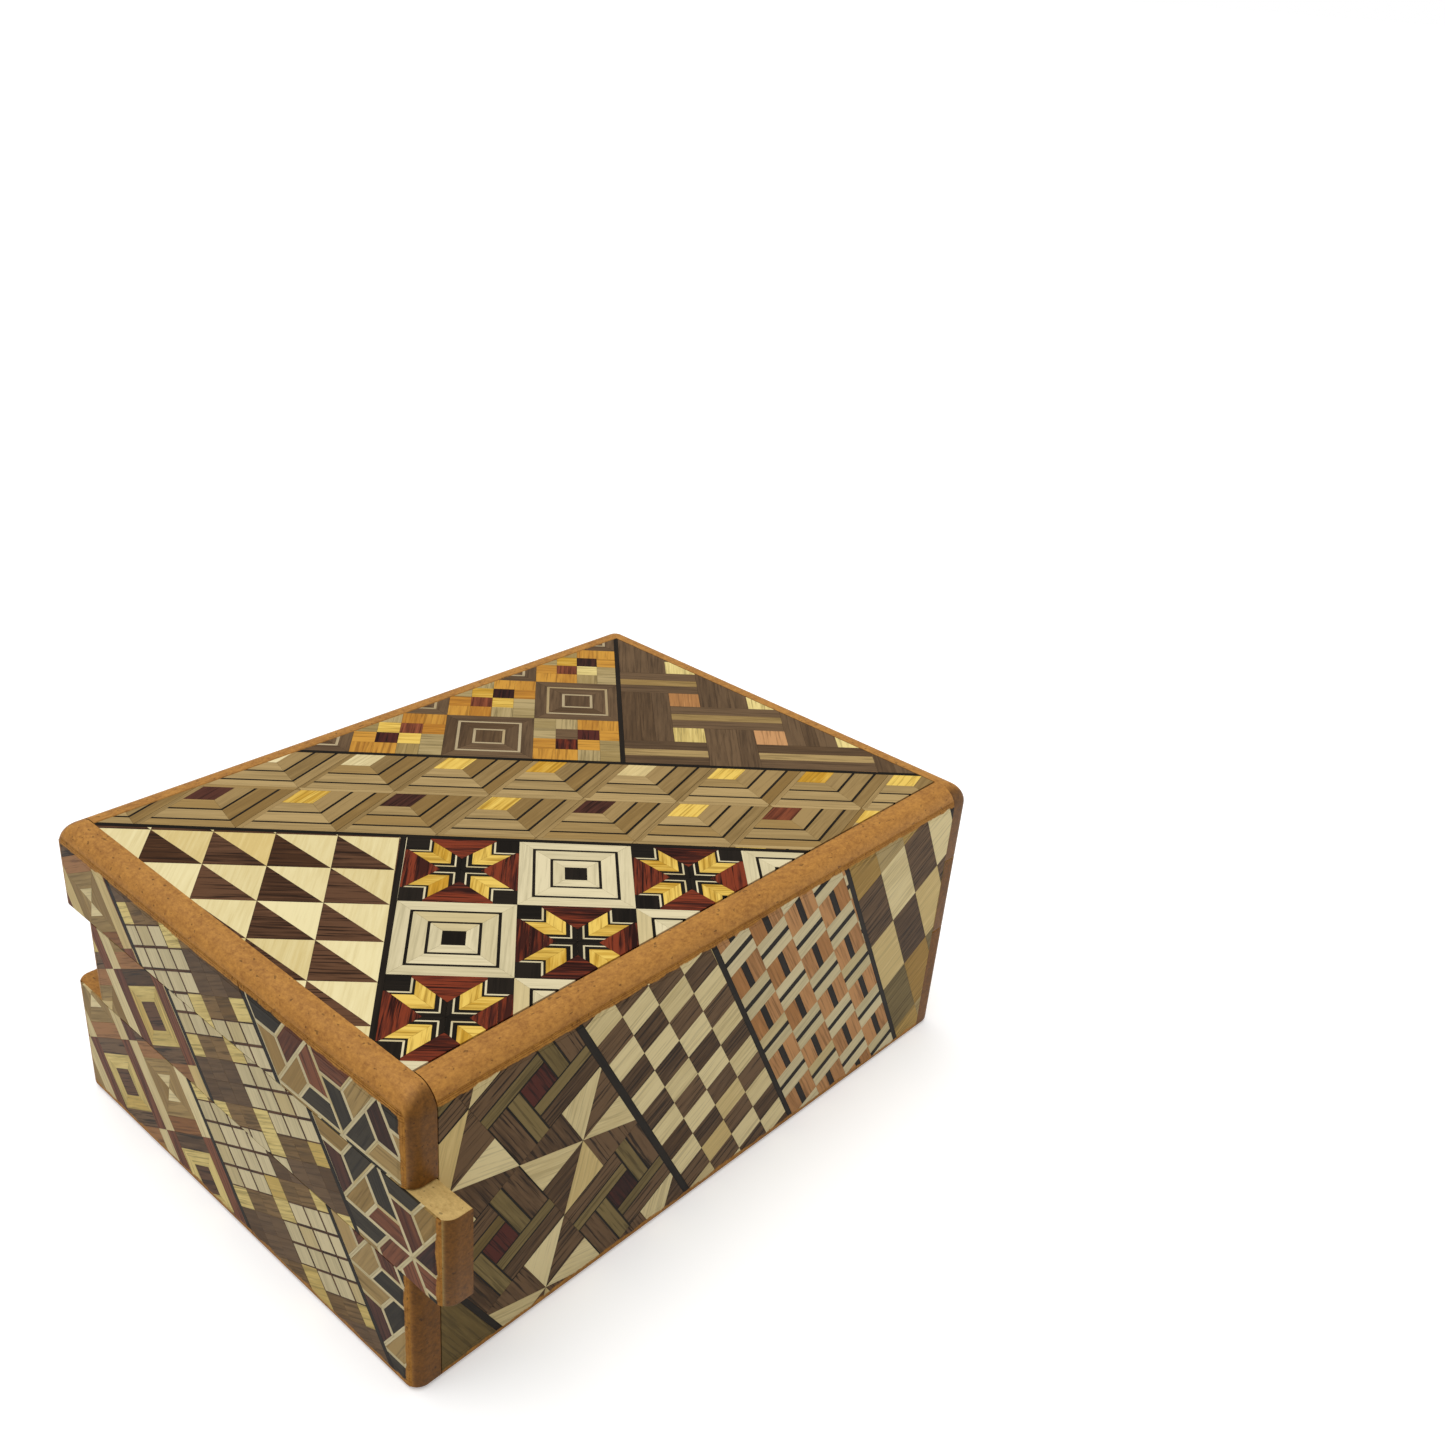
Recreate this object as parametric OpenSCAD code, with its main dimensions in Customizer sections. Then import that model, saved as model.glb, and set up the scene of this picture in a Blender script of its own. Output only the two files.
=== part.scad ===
// Wooden puzzle box with sliding end keys, a sliding lid and a sliding bottom.
// +X runs along the box, +Y towards its back and +Z up. The origin is the middle of the underside.
// Five groups: the carcass, the left key, the right key, the lid and the bottom.
// The left key is drawn slid out towards the front; everything else is drawn closed.

/* [Box] */
// Length over both ends
box_length = 120; // [100:0.5:180]
// Width over both long sides
box_width = 86.2; // [70:0.1:130]
// Height from the table to the top of the lid
box_height = 50.3; // [46:0.1:75]
// Radius of the outer edges round the top
edge_radius = 3.5; // [1:0.1:4]
// Radius of the upright outer edges
corner_radius = 2.2; // [0.5:0.1:4]
// Radius of the outer edges round the underside
foot_radius = 1; // [0.3:0.1:1.5]

/* [Boards] */
// Thickness of the slats across each end
end_slat_t = 4.5; // [4.2:0.1:7]
// Thickness of the front and back boards
side_board_t = 4.6; // [4.2:0.1:7]
// Thickness of the boards that close the compartment at each end
inner_end_t = 5; // [4.6:0.1:8]
// Thickness of the lid with its veneer
lid_t = 4.2; // [3.9:0.1:6]
// Thickness of the bottom with its veneer
bottom_t = 4.2; // [4:0.1:6]
// Thickness of the compartment's own floor
floor_t = 2.4; // [2:0.1:4]
// How deep the floor is housed in the boards around it
floor_housing = 1.2; // [0.5:0.1:2]
// Thickness of the marquetry veneer
veneer_t = 0.3; // [0.2:0.05:0.6]

/* [Keys] */
// Height of the key strips' lower edge above the table
key_bottom = 21.4; // [17:0.1:24]
// Height of the key strips
key_height = 14.7; // [12:0.1:18]
// How far each key slides
key_travel = 6.7; // [4:0.1:9]
// Height of the cleat's neck, behind a key
neck_height = 3; // [2:0.1:5]
// Depth of the cleat's neck
neck_depth = 1.4; // [1:0.1:2]
// Height of the cleat's head
head_height = 6.4; // [5:0.1:9]
// Depth of the cleat's head
head_depth = 1.6; // [1:0.1:2]

/* [Lugs] */
// Distance from the ends of the left key to the middle of its lugs
lug_inset = 18; // [15:0.5:25]
// Length of a lug along the key
lug_length = 6; // [4:0.1:6.5]
// Thickness of a lug
lug_t = 1.5; // [1:0.1:1.6]
// How far a lug stands out of the key's edge
lug_reach = 1.8; // [1:0.1:3]
// How deep a lug is set into the key's edge
lug_seat = 2.2; // [1:0.1:3]
// Wood left between a lug's groove and the veneer
lug_cover = 1.1; // [0.8:0.1:1.2]

/* [Lid and bottom runners] */
// Thickness of the tongues round the lid and the bottom
tongue_t = 1.5; // [1:0.1:1.8]
// How far the tongues reach into their grooves
tongue_depth = 1.5; // [1:0.1:2]
// Wood left between a groove and the box's top or underside
lip_t = 1.6; // [1:0.1:2]
// How far the bottom slides
bottom_travel = 8; // [5:0.5:12]
// Diameter of the peg that stops the bottom
peg_d = 3; // [2:0.1:4]
// How far the peg stands below the floor
peg_reach = 2.2; // [1.5:0.1:2.4]
// Distance from the box's middle to the peg
peg_x = 30; // [15:0.5:30]

/* [Fits] */
// Running gap at every sliding face
slide_gap = 0.15; // [0.1:0.01:0.2]
// Gap left at each end of a key's travel
stop_gap = 0.1; // [0.05:0.01:0.2]

/* [Hidden] */
$fn = 96;
// Cuts run past the faces that they open by this much
over = 1;

// Main planes, from the middle of the box outwards
end_plane = box_length / 2 - end_slat_t;
side_plane = box_width / 2 - side_board_t;
inner_plane = end_plane - inner_end_t;
moving_plane = end_plane + slide_gap;

// Heights
key_top = key_bottom + key_height;
lid_underside = box_height - lid_t;
floor_bottom = bottom_t + slide_gap;
inner_end_top = lid_underside - slide_gap;
cleat_z = key_bottom + key_height / 2;
lid_tongue_z = box_height - lip_t - slide_gap - tongue_t;
bottom_tongue_z = lip_t + slide_gap;

// Runners and cleats
tongue_reach = side_plane + tongue_depth - slide_gap;
cleat_length = 2 * side_plane - key_travel - 2 * stop_gap;
lug_x = -box_length / 2 + veneer_t + lug_cover + slide_gap;
lug_ys = [lug_inset - box_width / 2, box_width / 2 - lug_inset];

// ---- Shared shapes ----

// A box given by its lowest and highest corners
module block(low, high) {
    translate(low) cube([high.x - low.x, high.y - low.y, high.z - low.z]);
}

// A centred rectangle whose corners, from y = 0 up, are round below with one radius and above with another
module round_rect(width, height, low_radius, high_radius) {
    translate([-width / 2, low_radius]) square([width, height - low_radius - high_radius]);
    translate([low_radius - width / 2, 0]) square([width - 2 * low_radius, height - high_radius]);
    translate([high_radius - width / 2, low_radius]) square([width - 2 * high_radius, height - low_radius]);
    for (side = [-1, 1]) {
        translate([side * (width / 2 - low_radius), low_radius]) circle(r = low_radius);
        translate([side * (width / 2 - high_radius), height - high_radius]) circle(r = high_radius);
    }
}

// The closed box from outside: plan, front and end view carried through each other
module outer_form() {
    intersection() {
        translate([0, -box_width / 2, 0]) linear_extrude(box_height)
            round_rect(box_length, box_width, corner_radius, corner_radius);
        translate([0, box_width / 2, 0]) rotate([90, 0, 0]) linear_extrude(box_width)
            round_rect(box_length, box_height, foot_radius, edge_radius);
        translate([-box_length / 2, 0, 0]) rotate([90, 0, 90]) linear_extrude(box_length)
            round_rect(box_width, box_height, foot_radius, edge_radius);
    }
}

// The part of the outer form between two corners
module outer_block(low, high) {
    intersection() {
        outer_form();
        block(low, high);
    }
}

// Tongue plate of the lid or the bottom, from its glued left end to the groove at the right end
module tongue_plate(z) {
    block([-moving_plane, -tongue_reach, z], [end_plane + tongue_depth - slide_gap, tongue_reach, z + tongue_t]);
}

// The room that a tongue plate runs in
module tongue_room(z) {
    block([-box_length, -tongue_reach - slide_gap, z - slide_gap],
          [end_plane + tongue_depth, tongue_reach + slide_gap, z + tongue_t + slide_gap]);
}

// The housing of the compartment floor, which the floor fills
module floor_plate() {
    block([-inner_plane - floor_housing, -side_plane - floor_housing, floor_bottom],
          [inner_plane + floor_housing, side_plane + floor_housing, floor_bottom + floor_t]);
}

// Front board; the back board is its mirror image
module side_board() {
    difference() {
        outer_block([-end_plane, -box_width / 2 + veneer_t, 0], [end_plane, -side_plane, box_height]);
        tongue_room(lid_tongue_z);
        tongue_room(bottom_tongue_z);
        floor_plate();
    }
}

// Veneer of the front board; the back's is its mirror image
module side_veneer() {
    outer_block([-end_plane, -box_width / 2, 0], [end_plane, -box_width / 2 + veneer_t, box_height]);
}

// Groove for a cleat across the right inner end
module cleat_groove() {
    half = side_plane + over;
    block([end_plane - neck_depth - over, -half, cleat_z - neck_height / 2 - slide_gap],
          [end_plane + over, half, cleat_z + neck_height / 2 + slide_gap]);
    block([end_plane - neck_depth - head_depth - slide_gap, -half, cleat_z - head_height / 2 - slide_gap],
          [end_plane - neck_depth + slide_gap, half, cleat_z + head_height / 2 + slide_gap]);
}

// Right inner end; the left one is its mirror image
module inner_end() {
    difference() {
        block([inner_plane, -side_plane, floor_bottom], [end_plane, side_plane, inner_end_top]);
        cleat_groove();
        floor_plate();
    }
}

// Slat across the right end between two heights, with its inner face on the given plane
module end_slat(plane, z_low, z_high) {
    outer_block([plane, -box_width / 2, z_low], [box_length / 2 - veneer_t, box_width / 2, z_high]);
}

// Veneer of such a slat
module end_veneer(z_low, z_high) {
    outer_block([box_length / 2 - veneer_t, -box_width / 2, z_low], [box_length / 2, box_width / 2, z_high]);
}

// T-shaped cleat behind the right key, centred across the box
module cleat() {
    half = cleat_length / 2;
    block([end_plane - neck_depth, -half, cleat_z - neck_height / 2],
          [moving_plane, half, cleat_z + neck_height / 2]);
    block([end_plane - neck_depth - head_depth, -half, cleat_z - head_height / 2],
          [end_plane - neck_depth, half, cleat_z + head_height / 2]);
}

// Where a cleat lies behind a closed key: against the stop that the key moves away from
cleat_home = side_plane - stop_gap - cleat_length / 2;

// The left key group, from its closed place to the place it is drawn in
module slid_out() {
    translate([0, -key_travel, 0]) children();
}

// Lugs of the left key in its closed place, on the upper and the lower edge
module lugs() {
    for (y = lug_ys) {
        block([lug_x, y - lug_length / 2, key_top - lug_seat],
              [lug_x + lug_t, y + lug_length / 2, key_top + lug_reach]);
        block([lug_x, y - lug_length / 2, key_bottom - lug_reach],
              [lug_x + lug_t, y + lug_length / 2, key_bottom + lug_seat]);
    }
}

// Grooves that the lugs run in, each with a notch that lets the slat off when the key is out
module lug_grooves() {
    for (y = lug_ys) {
        out_y = y - key_travel;
        z_low = key_bottom - lug_reach - slide_gap;
        z_high = key_top + lug_reach + slide_gap;
        block([lug_x - slide_gap, out_y - lug_length / 2 - slide_gap, z_low],
              [lug_x + lug_t + slide_gap, y + lug_length / 2 + slide_gap, z_high]);
        block([lug_x - slide_gap, out_y - lug_length / 2 - slide_gap, z_low],
              [-end_plane + over, out_y + lug_length / 2 + slide_gap, z_high]);
    }
}

// ---- Carcass ----

module front_side_board() {
    color("peru") side_board();
}

module front_veneer() {
    color("saddlebrown") side_veneer();
}

module back_side_board() {
    color("peru") mirror([0, 1, 0]) side_board();
}

module back_veneer() {
    color("saddlebrown") mirror([0, 1, 0]) side_veneer();
}

module left_inner_end() {
    color("burlywood") mirror([1, 0, 0]) inner_end();
}

module right_inner_end() {
    color("burlywood") inner_end();
}

// Floor of the compartment, bored for the peg that stops the bottom
module compartment_floor() {
    color("tan") difference() {
        floor_plate();
        translate([peg_x, 0, floor_bottom - over]) cylinder(d = peg_d, h = floor_t + 2 * over);
    }
}

module right_upper_slat() {
    color("peru") difference() {
        end_slat(end_plane, key_top + slide_gap, box_height);
        tongue_room(lid_tongue_z);
    }
}

module right_upper_veneer() {
    color("sienna") end_veneer(key_top + slide_gap, box_height);
}

module right_lower_slat() {
    color("peru") difference() {
        end_slat(end_plane, 0, key_bottom - slide_gap);
        tongue_room(bottom_tongue_z);
    }
}

module right_lower_veneer() {
    color("sienna") end_veneer(0, key_bottom - slide_gap);
}

// Dowel glued into the floor; it hangs in a slot of the bottom board
module bottom_stop_peg() {
    color("wheat") translate([peg_x, 0, floor_bottom - peg_reach]) cylinder(d = peg_d, h = peg_reach + floor_t);
}

// ---- Left key ----

module left_key_slat() {
    color("peru") slid_out() difference() {
        mirror([1, 0, 0]) end_slat(moving_plane, key_bottom, key_top);
        lugs();
    }
}

module left_key_veneer() {
    color("sienna") slid_out() mirror([1, 0, 0]) end_veneer(key_bottom, key_top);
}

module left_key_cleat() {
    color("wheat") slid_out() translate([0, cleat_home, 0]) mirror([1, 0, 0]) cleat();
}

module left_key_lugs() {
    color("wheat") slid_out() lugs();
}

// ---- Right key ----

module right_key_slat() {
    color("peru") end_slat(moving_plane, key_bottom, key_top);
}

module right_key_veneer() {
    color("sienna") end_veneer(key_bottom, key_top);
}

module right_key_cleat() {
    color("wheat") translate([0, -cleat_home, 0]) cleat();
}

// ---- Lid ----

module lid_board() {
    color("peru") {
        block([-moving_plane, -side_plane + slide_gap, lid_underside],
              [end_plane - slide_gap, side_plane - slide_gap, box_height - veneer_t]);
        tongue_plate(lid_tongue_z);
    }
}

module lid_veneer() {
    color("saddlebrown") block([-moving_plane, -side_plane + slide_gap, box_height - veneer_t],
                               [end_plane - slide_gap, side_plane - slide_gap, box_height]);
}

module left_upper_slat() {
    color("peru") difference() {
        mirror([1, 0, 0]) end_slat(moving_plane, key_top + slide_gap, box_height);
        lug_grooves();
    }
}

module left_upper_veneer() {
    color("sienna") mirror([1, 0, 0]) end_veneer(key_top + slide_gap, box_height);
}

// ---- Bottom ----

// Bottom board, with the slot that the stop peg runs in
module bottom_board() {
    color("peru") difference() {
        union() {
            block([-moving_plane, -side_plane + slide_gap, veneer_t],
                  [end_plane - slide_gap, side_plane - slide_gap, bottom_t]);
            tongue_plate(bottom_tongue_z);
        }
        for (x = [peg_x, peg_x + bottom_travel])
            translate([x, 0, floor_bottom - peg_reach - slide_gap])
                cylinder(d = peg_d + 2 * slide_gap, h = peg_reach + over);
        block([peg_x, -peg_d / 2 - slide_gap, floor_bottom - peg_reach - slide_gap],
              [peg_x + bottom_travel, peg_d / 2 + slide_gap, bottom_t + over]);
    }
}

module bottom_veneer() {
    color("saddlebrown") block([-moving_plane, -side_plane + slide_gap, 0],
                               [end_plane - slide_gap, side_plane - slide_gap, veneer_t]);
}

module left_lower_slat() {
    color("peru") difference() {
        mirror([1, 0, 0]) end_slat(moving_plane, 0, key_bottom - slide_gap);
        lug_grooves();
    }
}

module left_lower_veneer() {
    color("sienna") mirror([1, 0, 0]) end_veneer(0, key_bottom - slide_gap);
}

front_side_board();
front_veneer();
back_side_board();
back_veneer();
left_inner_end();
right_inner_end();
compartment_floor();
right_upper_slat();
right_upper_veneer();
right_lower_slat();
right_lower_veneer();
bottom_stop_peg();
left_key_slat();
left_key_veneer();
left_key_cleat();
left_key_lugs();
right_key_slat();
right_key_veneer();
right_key_cleat();
lid_board();
lid_veneer();
left_upper_slat();
left_upper_veneer();
bottom_board();
bottom_veneer();
left_lower_slat();
left_lower_veneer();
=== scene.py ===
"""Wooden puzzle box in parquetry: finishes, veneers, rounded boards, light and camera.

Lengths are in millimetres, apart from those of the lamps and the camera, which are in metres.
"""

import logging
import math
from dataclasses import dataclass, field, replace
from enum import Enum
from functools import cache, reduce
from typing import Callable, ClassVar, Iterable, Sequence

import bmesh
import bpy
import numpy as np
from bpy.types import Material, Mesh, Node, NodeTree, Object
from mathutils import Matrix

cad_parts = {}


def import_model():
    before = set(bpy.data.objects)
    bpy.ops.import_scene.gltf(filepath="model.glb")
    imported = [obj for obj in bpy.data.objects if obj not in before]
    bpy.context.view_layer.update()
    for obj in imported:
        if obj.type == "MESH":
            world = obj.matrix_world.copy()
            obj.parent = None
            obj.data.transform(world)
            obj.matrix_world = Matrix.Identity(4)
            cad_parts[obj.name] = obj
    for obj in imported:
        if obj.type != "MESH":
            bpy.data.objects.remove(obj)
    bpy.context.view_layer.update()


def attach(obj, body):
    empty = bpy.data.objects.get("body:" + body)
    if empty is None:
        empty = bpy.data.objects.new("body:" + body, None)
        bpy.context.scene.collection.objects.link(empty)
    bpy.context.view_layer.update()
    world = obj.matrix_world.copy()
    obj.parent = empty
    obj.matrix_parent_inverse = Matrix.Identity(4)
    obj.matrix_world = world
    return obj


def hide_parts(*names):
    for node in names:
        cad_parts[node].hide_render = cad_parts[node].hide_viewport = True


LOG = logging.getLogger("puzzle_box")
MM = 0.001
Array = np.ndarray
Socket = bpy.types.NodeSocket
Sockets = bpy.types.bpy_prop_collection
Point = tuple[float, float]
Triple = tuple[float, float, float]
Blocks = tuple[tuple[Triple, Triple], ...]


# ---- The box and its faces ----


@dataclass(frozen=True)
class BoxForm:
    """Outer sizes that every board and veneer shares."""

    length: float = 120.0
    width: float = 86.2
    height: float = 50.3
    radius: float = 3.5
    corner_radius: float = 2.2
    foot_radius: float = 1.0
    end_plane: float = 55.5
    side_plane: float = 38.5
    gap: float = 0.15
    veneer: float = 0.3
    key_bottom: float = 21.4
    key_top: float = 36.1
    key_travel: float = 6.7
    lid_groove: Point = (46.9, 48.7)
    bottom_groove: Point = (1.6, 3.4)

    @property
    def flat_top(self) -> float:
        """Height where the rounding of the top edges starts."""
        return self.height - self.radius

    @property
    def flat_end(self) -> float:
        """Distance from the middle where the rounding of the upright edges starts."""
        return self.width / 2 - self.corner_radius

    def feather(self, radius: float) -> float:
        """Return how far past its start a rounding is t deep: the root of r squared less (r - t) squared."""
        return math.sqrt(radius ** 2 - (radius - self.veneer) ** 2)


BOX = BoxForm()


def round_depth(past: Array, radius: float) -> Array:
    """Return a quarter round's depth, s past its start: r less the root of r squared less s squared."""
    return radius - np.sqrt(np.maximum(radius * radius - np.maximum(past, 0.0) ** 2, 0.0))


@dataclass(frozen=True)
class Face:
    """One flat side of the box: a point of it, and its right and upward directions seen from outside."""

    origin: Triple
    right: Triple
    up: Triple

    def along(self, flat: Array) -> Array:
        """Return directions of the plane in space: u right + v up."""
        return flat[..., :1] * np.array(self.right) + flat[..., 1:] * np.array(self.up)

    def place(self, flat: Array, depth: Array) -> Array:
        """Return points (u, v) of the plane in space, below it: origin + u right + v up - depth outward."""
        return np.array(self.origin) + self.along(flat) - depth[..., None] * np.cross(self.right, self.up)


FRONT = Face((0, -BOX.width / 2, 0), (1, 0, 0), (0, 0, 1))
BACK = Face((0, BOX.width / 2, 0), (-1, 0, 0), (0, 0, 1))
LEFT = Face((-BOX.length / 2, 0, 0), (0, -1, 0), (0, 0, 1))
RIGHT = Face((BOX.length / 2, 0, 0), (0, 1, 0), (0, 0, 1))
TOP = Face((0, 0, BOX.height), (1, 0, 0), (0, 1, 0))
UNDER = Face((0, 0, 0), (1, 0, 0), (0, -1, 0))


# ---- Woods ----


@dataclass(frozen=True)
class WoodFinish:
    """Look of one veneer wood: its material's name, its grain's light and dark, its pores and its figure."""

    name: str
    light: Triple
    dark: Triple
    pores: float = 0.35
    figure: float = 1.0


class Wood(Enum):
    """The woods of the parquetry."""

    CREAM = WoodFinish("cream_spindlewood", (0.88, 0.79, 0.52), (0.68, 0.58, 0.34), 0.22, 0.7)
    HOLLY = WoodFinish("white_holly", (0.78, 0.71, 0.51), (0.62, 0.56, 0.38), 0.16, 0.7)
    IVORY = WoodFinish("ivory_spindlewood", (0.87, 0.79, 0.50), (0.70, 0.58, 0.29), 0.05, 0.45)
    WALNUT = WoodFinish("dark_walnut", (0.130, 0.064, 0.036), (0.060, 0.028, 0.015), 0.85, 1.2)
    EBONY = WoodFinish("black_bogwood", (0.018, 0.0135, 0.010), (0.009, 0.007, 0.005), 0.2)
    TAN = WoodFinish("tan_chestnut", (0.48, 0.35, 0.170), (0.34, 0.24, 0.11), 0.15, 0.7)
    UMBER = WoodFinish("umber_zelkova", (0.38, 0.265, 0.12), (0.255, 0.17, 0.070), 0.15, 0.7)
    YELLOW = WoodFinish("yellow_sumac", (0.86, 0.62, 0.150), (0.56, 0.32, 0.035))
    ORANGE = WoodFinish("orange_mulberry", (0.64, 0.33, 0.055), (0.46, 0.21, 0.035), 0.4)
    MAHOGANY = WoodFinish("red_mahogany", (0.225, 0.042, 0.018), (0.050, 0.013, 0.010), 0.9, 1.5)
    PURPLE = WoodFinish("purple_rosewood", (0.095, 0.034, 0.024), (0.030, 0.012, 0.009), 0.4)
    PINK = WoodFinish("pink_cherry", (0.60, 0.325, 0.155), (0.42, 0.215, 0.095), 0.4)
    SAGE = WoodFinish("sage_magnolia", (0.48, 0.38, 0.20), (0.34, 0.26, 0.12), 0.4)
    OLIVE = WoodFinish("olive_magnolia", (0.245, 0.190, 0.088), (0.155, 0.118, 0.052), 0.5, 0.8)
    TAUPE = WoodFinish("taupe_walnut", (0.165, 0.105, 0.060), (0.100, 0.062, 0.036), 0.35, 0.8)
    GREY = WoodFinish("grey_line", (0.52, 0.43, 0.29), (0.42, 0.34, 0.22), 0.15)
    SEPIA = WoodFinish("sepia_katsura", (0.26, 0.165, 0.075), (0.16, 0.10, 0.043), 0.6)
    NAVY = WoodFinish("blue_black_wood", (0.046, 0.039, 0.029), (0.021, 0.018, 0.014), 0.3)
    RUSSET = WoodFinish("russet_cinnamon", (0.40, 0.205, 0.095), (0.25, 0.12, 0.052), 0.5)
    BURGUNDY = WoodFinish("burgundy_rosewood", (0.090, 0.022, 0.017), (0.030, 0.010, 0.009), 0.8)
    MAROON = WoodFinish("maroon_padauk", (0.23, 0.085, 0.046), (0.10, 0.033, 0.019), 0.7)
    GOLD = WoodFinish("golden_zelkova", (0.52, 0.36, 0.125), (0.38, 0.25, 0.08), 0.5)
    STRAW = WoodFinish("straw_sumac", (0.86, 0.73, 0.33), (0.62, 0.50, 0.20), 0.45)
    STREAKED = WoodFinish("streaked_walnut", (0.170, 0.106, 0.062), (0.075, 0.044, 0.025), 1.0, 1.1)
    KHAKI = WoodFinish("khaki_magnolia", (0.44, 0.315, 0.145), (0.30, 0.21, 0.090), 0.4)
    RED = WoodFinish("red_padauk", (0.32, 0.095, 0.045), (0.15, 0.042, 0.022), 0.6)


WOOD_ORDER = list(Wood)
Part = tuple[Sequence[Point], Wood, float]


@dataclass(frozen=True)
class BoardFinish:
    """Look of a solid board: its grain's light and dark, its end grain and the direction of its length."""

    name: str
    light: Triple
    dark: Triple
    end: Triple
    along: Triple
    speck: float = 0.6
    roughness: float = 0.55


LACQUER = (1.0, 0.955, 0.84)
BARE_LIGHT, BARE_DARK, BARE_END = (0.54, 0.265, 0.063), (0.32, 0.140, 0.034), (0.163, 0.069, 0.013)
SLAT_WOOD = BoardFinish("slat_wood", BARE_LIGHT, BARE_DARK, BARE_END, (0, 1, 0))
SIDE_WOOD = BoardFinish("side_wood", BARE_LIGHT, BARE_DARK, BARE_END, (1, 0, 0))
KEY_WOOD = BoardFinish("key_wood", (0.64, 0.46, 0.190), (0.46, 0.31, 0.115), BARE_END, (0, 1, 0))
INNER_WOOD = BoardFinish("inner_wood", (0.60, 0.44, 0.25), (0.46, 0.32, 0.18), (0.40, 0.27, 0.15),
                         (1, 0, 0), 0.3, 0.6)
CROSS_WOOD = BoardFinish("cross_wood", (0.58, 0.42, 0.24), (0.44, 0.30, 0.17), (0.38, 0.26, 0.14),
                         (0, 1, 0), 0.3, 0.6)
PEG_WOOD = BoardFinish("peg_wood", (0.64, 0.48, 0.28), (0.50, 0.35, 0.19), (0.42, 0.29, 0.16),
                       (0, 0, 1), 0.25)


class Nodes:
    """Short way to add and join nodes in one node tree."""

    def __init__(self, tree: NodeTree) -> None:
        """Empty a tree, and keep it for the new nodes."""
        tree.nodes.clear()
        self.tree = tree

    def fill(self, node: Node, inputs: dict) -> Node:
        """Set or link inputs of a node.

        Args:
            node: The node.
            inputs: What goes into each, by its name or number: a socket, a number, a triple or a colour.

        Returns:
            The same node.
        """
        for key, value in inputs.items():
            slot = node.inputs[key]
            if isinstance(value, Socket):
                self.tree.links.new(value, slot)
            else:
                slot.default_value = (*value, 1.0) if slot.type == "RGBA" else value
        return node

    def add(self, kind: str, inputs: dict | None = None, **settings: object) -> Node:
        """Add a node.

        Args:
            kind: Node type without the ShaderNode prefix.
            inputs: What goes into its inputs, as fill takes it.
            settings: Property values.

        Returns:
            The new node.
        """
        node = self.tree.nodes.new(kind if kind.startswith("NodeGroup") else "ShaderNode" + kind)
        for key, value in settings.items():
            setattr(node, key, value)
        return self.fill(node, inputs or {})

    def math(self, operation: str, *values: object) -> Socket:
        """Return a Math node's result; the values are sockets or numbers."""
        return self.add("Math", dict(enumerate(values)), operation=operation).outputs[0]

    def times(self, first: object, second: object) -> Socket:
        """Return a product."""
        return self.math("MULTIPLY", first, second)

    def swing(self, value: Socket, gain: object) -> Socket:
        """Return a value's distance from a half, times a gain."""
        return self.times(self.math("SUBTRACT", value, 0.5), gain)

    def total(self, *values: object) -> Socket:
        """Return the sum of values, added one after another."""
        return reduce(lambda first, value: self.math("ADD", first, value), values)

    def clamped(self, value: Socket) -> Socket:
        """Return a value held between 0 and 1."""
        return self.math("MINIMUM", self.math("MAXIMUM", value, 0.0), 1.0)

    def vector(self, operation: str, first: object, second: object) -> Socket:
        """Return the main output of a Vector Math node; the second value of a scale is a number."""
        slot, result = 3 if operation == "SCALE" else 1, "Value" if operation == "DOT_PRODUCT" else "Vector"
        return self.add("VectorMath", {0: first, slot: second}, operation=operation).outputs[result]

    def ramp(self, value: Socket, low: float, high: float) -> Socket:
        """Return a smooth step of a value from 0 at low to 1 at high."""
        return self.add("MapRange", {0: value, 1: low, 2: high}, interpolation_type="SMOOTHSTEP").outputs[0]

    def mix(self, share: object, first: object, second: object, blend: str = "MIX") -> Socket:
        """Return the mix of two colours, each a socket or a triple, by a share."""
        return self.add("Mix", {0: share, 6: first, 7: second}, data_type="RGBA", blend_type=blend).outputs[2]

    def noise(self, where: Socket, scale: float, detail: float = 2.0, roughness: float = 0.5) -> Socket:
        """Return a noise value between 0 and 1 read at a vector."""
        inputs = {"Scale": scale, "Detail": detail, "Roughness": roughness, "Vector": where}
        return self.add("TexNoise", inputs).outputs["Fac"]

    def place(self) -> Socket:
        """Return the object's own coordinates in millimetres."""
        return self.vector("SCALE", self.add("TexCoord").outputs["Object"], 1000.0)

    def attribute(self, name: str, output: str = "Fac") -> Socket:
        """Return a mesh attribute."""
        return self.add("Attribute", attribute_name=name).outputs[output]

    def group(self, tree: NodeTree, **values: object) -> Sockets:
        """Place a shared group, with every colour seen through the yellowed lacquer.

        Args:
            tree: The group.
            values: What each of its inputs is given.

        Returns:
            The group's outputs.
        """
        node = self.add("Group", node_tree=tree)
        for key, value in values.items():
            if node.inputs[key].type == "RGBA":
                values[key] = tuple(np.multiply(value, LACQUER))
        return self.fill(node, values).outputs

    def surface(self, colour: Socket, height: Socket, roughness: float, specular: float,
                strength: float, depth: float) -> None:
        """End the tree in a Principled shader with a bump.

        Args:
            colour: Base colour.
            height: Height that the bump follows.
            roughness: Roughness.
            specular: Specular level.
            strength: Strength of the bump.
            depth: Depth of the bump.
        """
        bump = self.add("Bump", {"Strength": strength, "Distance": depth * MM, "Height": height})
        shader = self.add("BsdfPrincipled", {"Base Color": colour, "Roughness": roughness,
                                             "Specular IOR Level": specular, "Normal": bump.outputs[0]})
        self.add("OutputMaterial", {"Surface": shader.outputs[0]})


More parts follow.
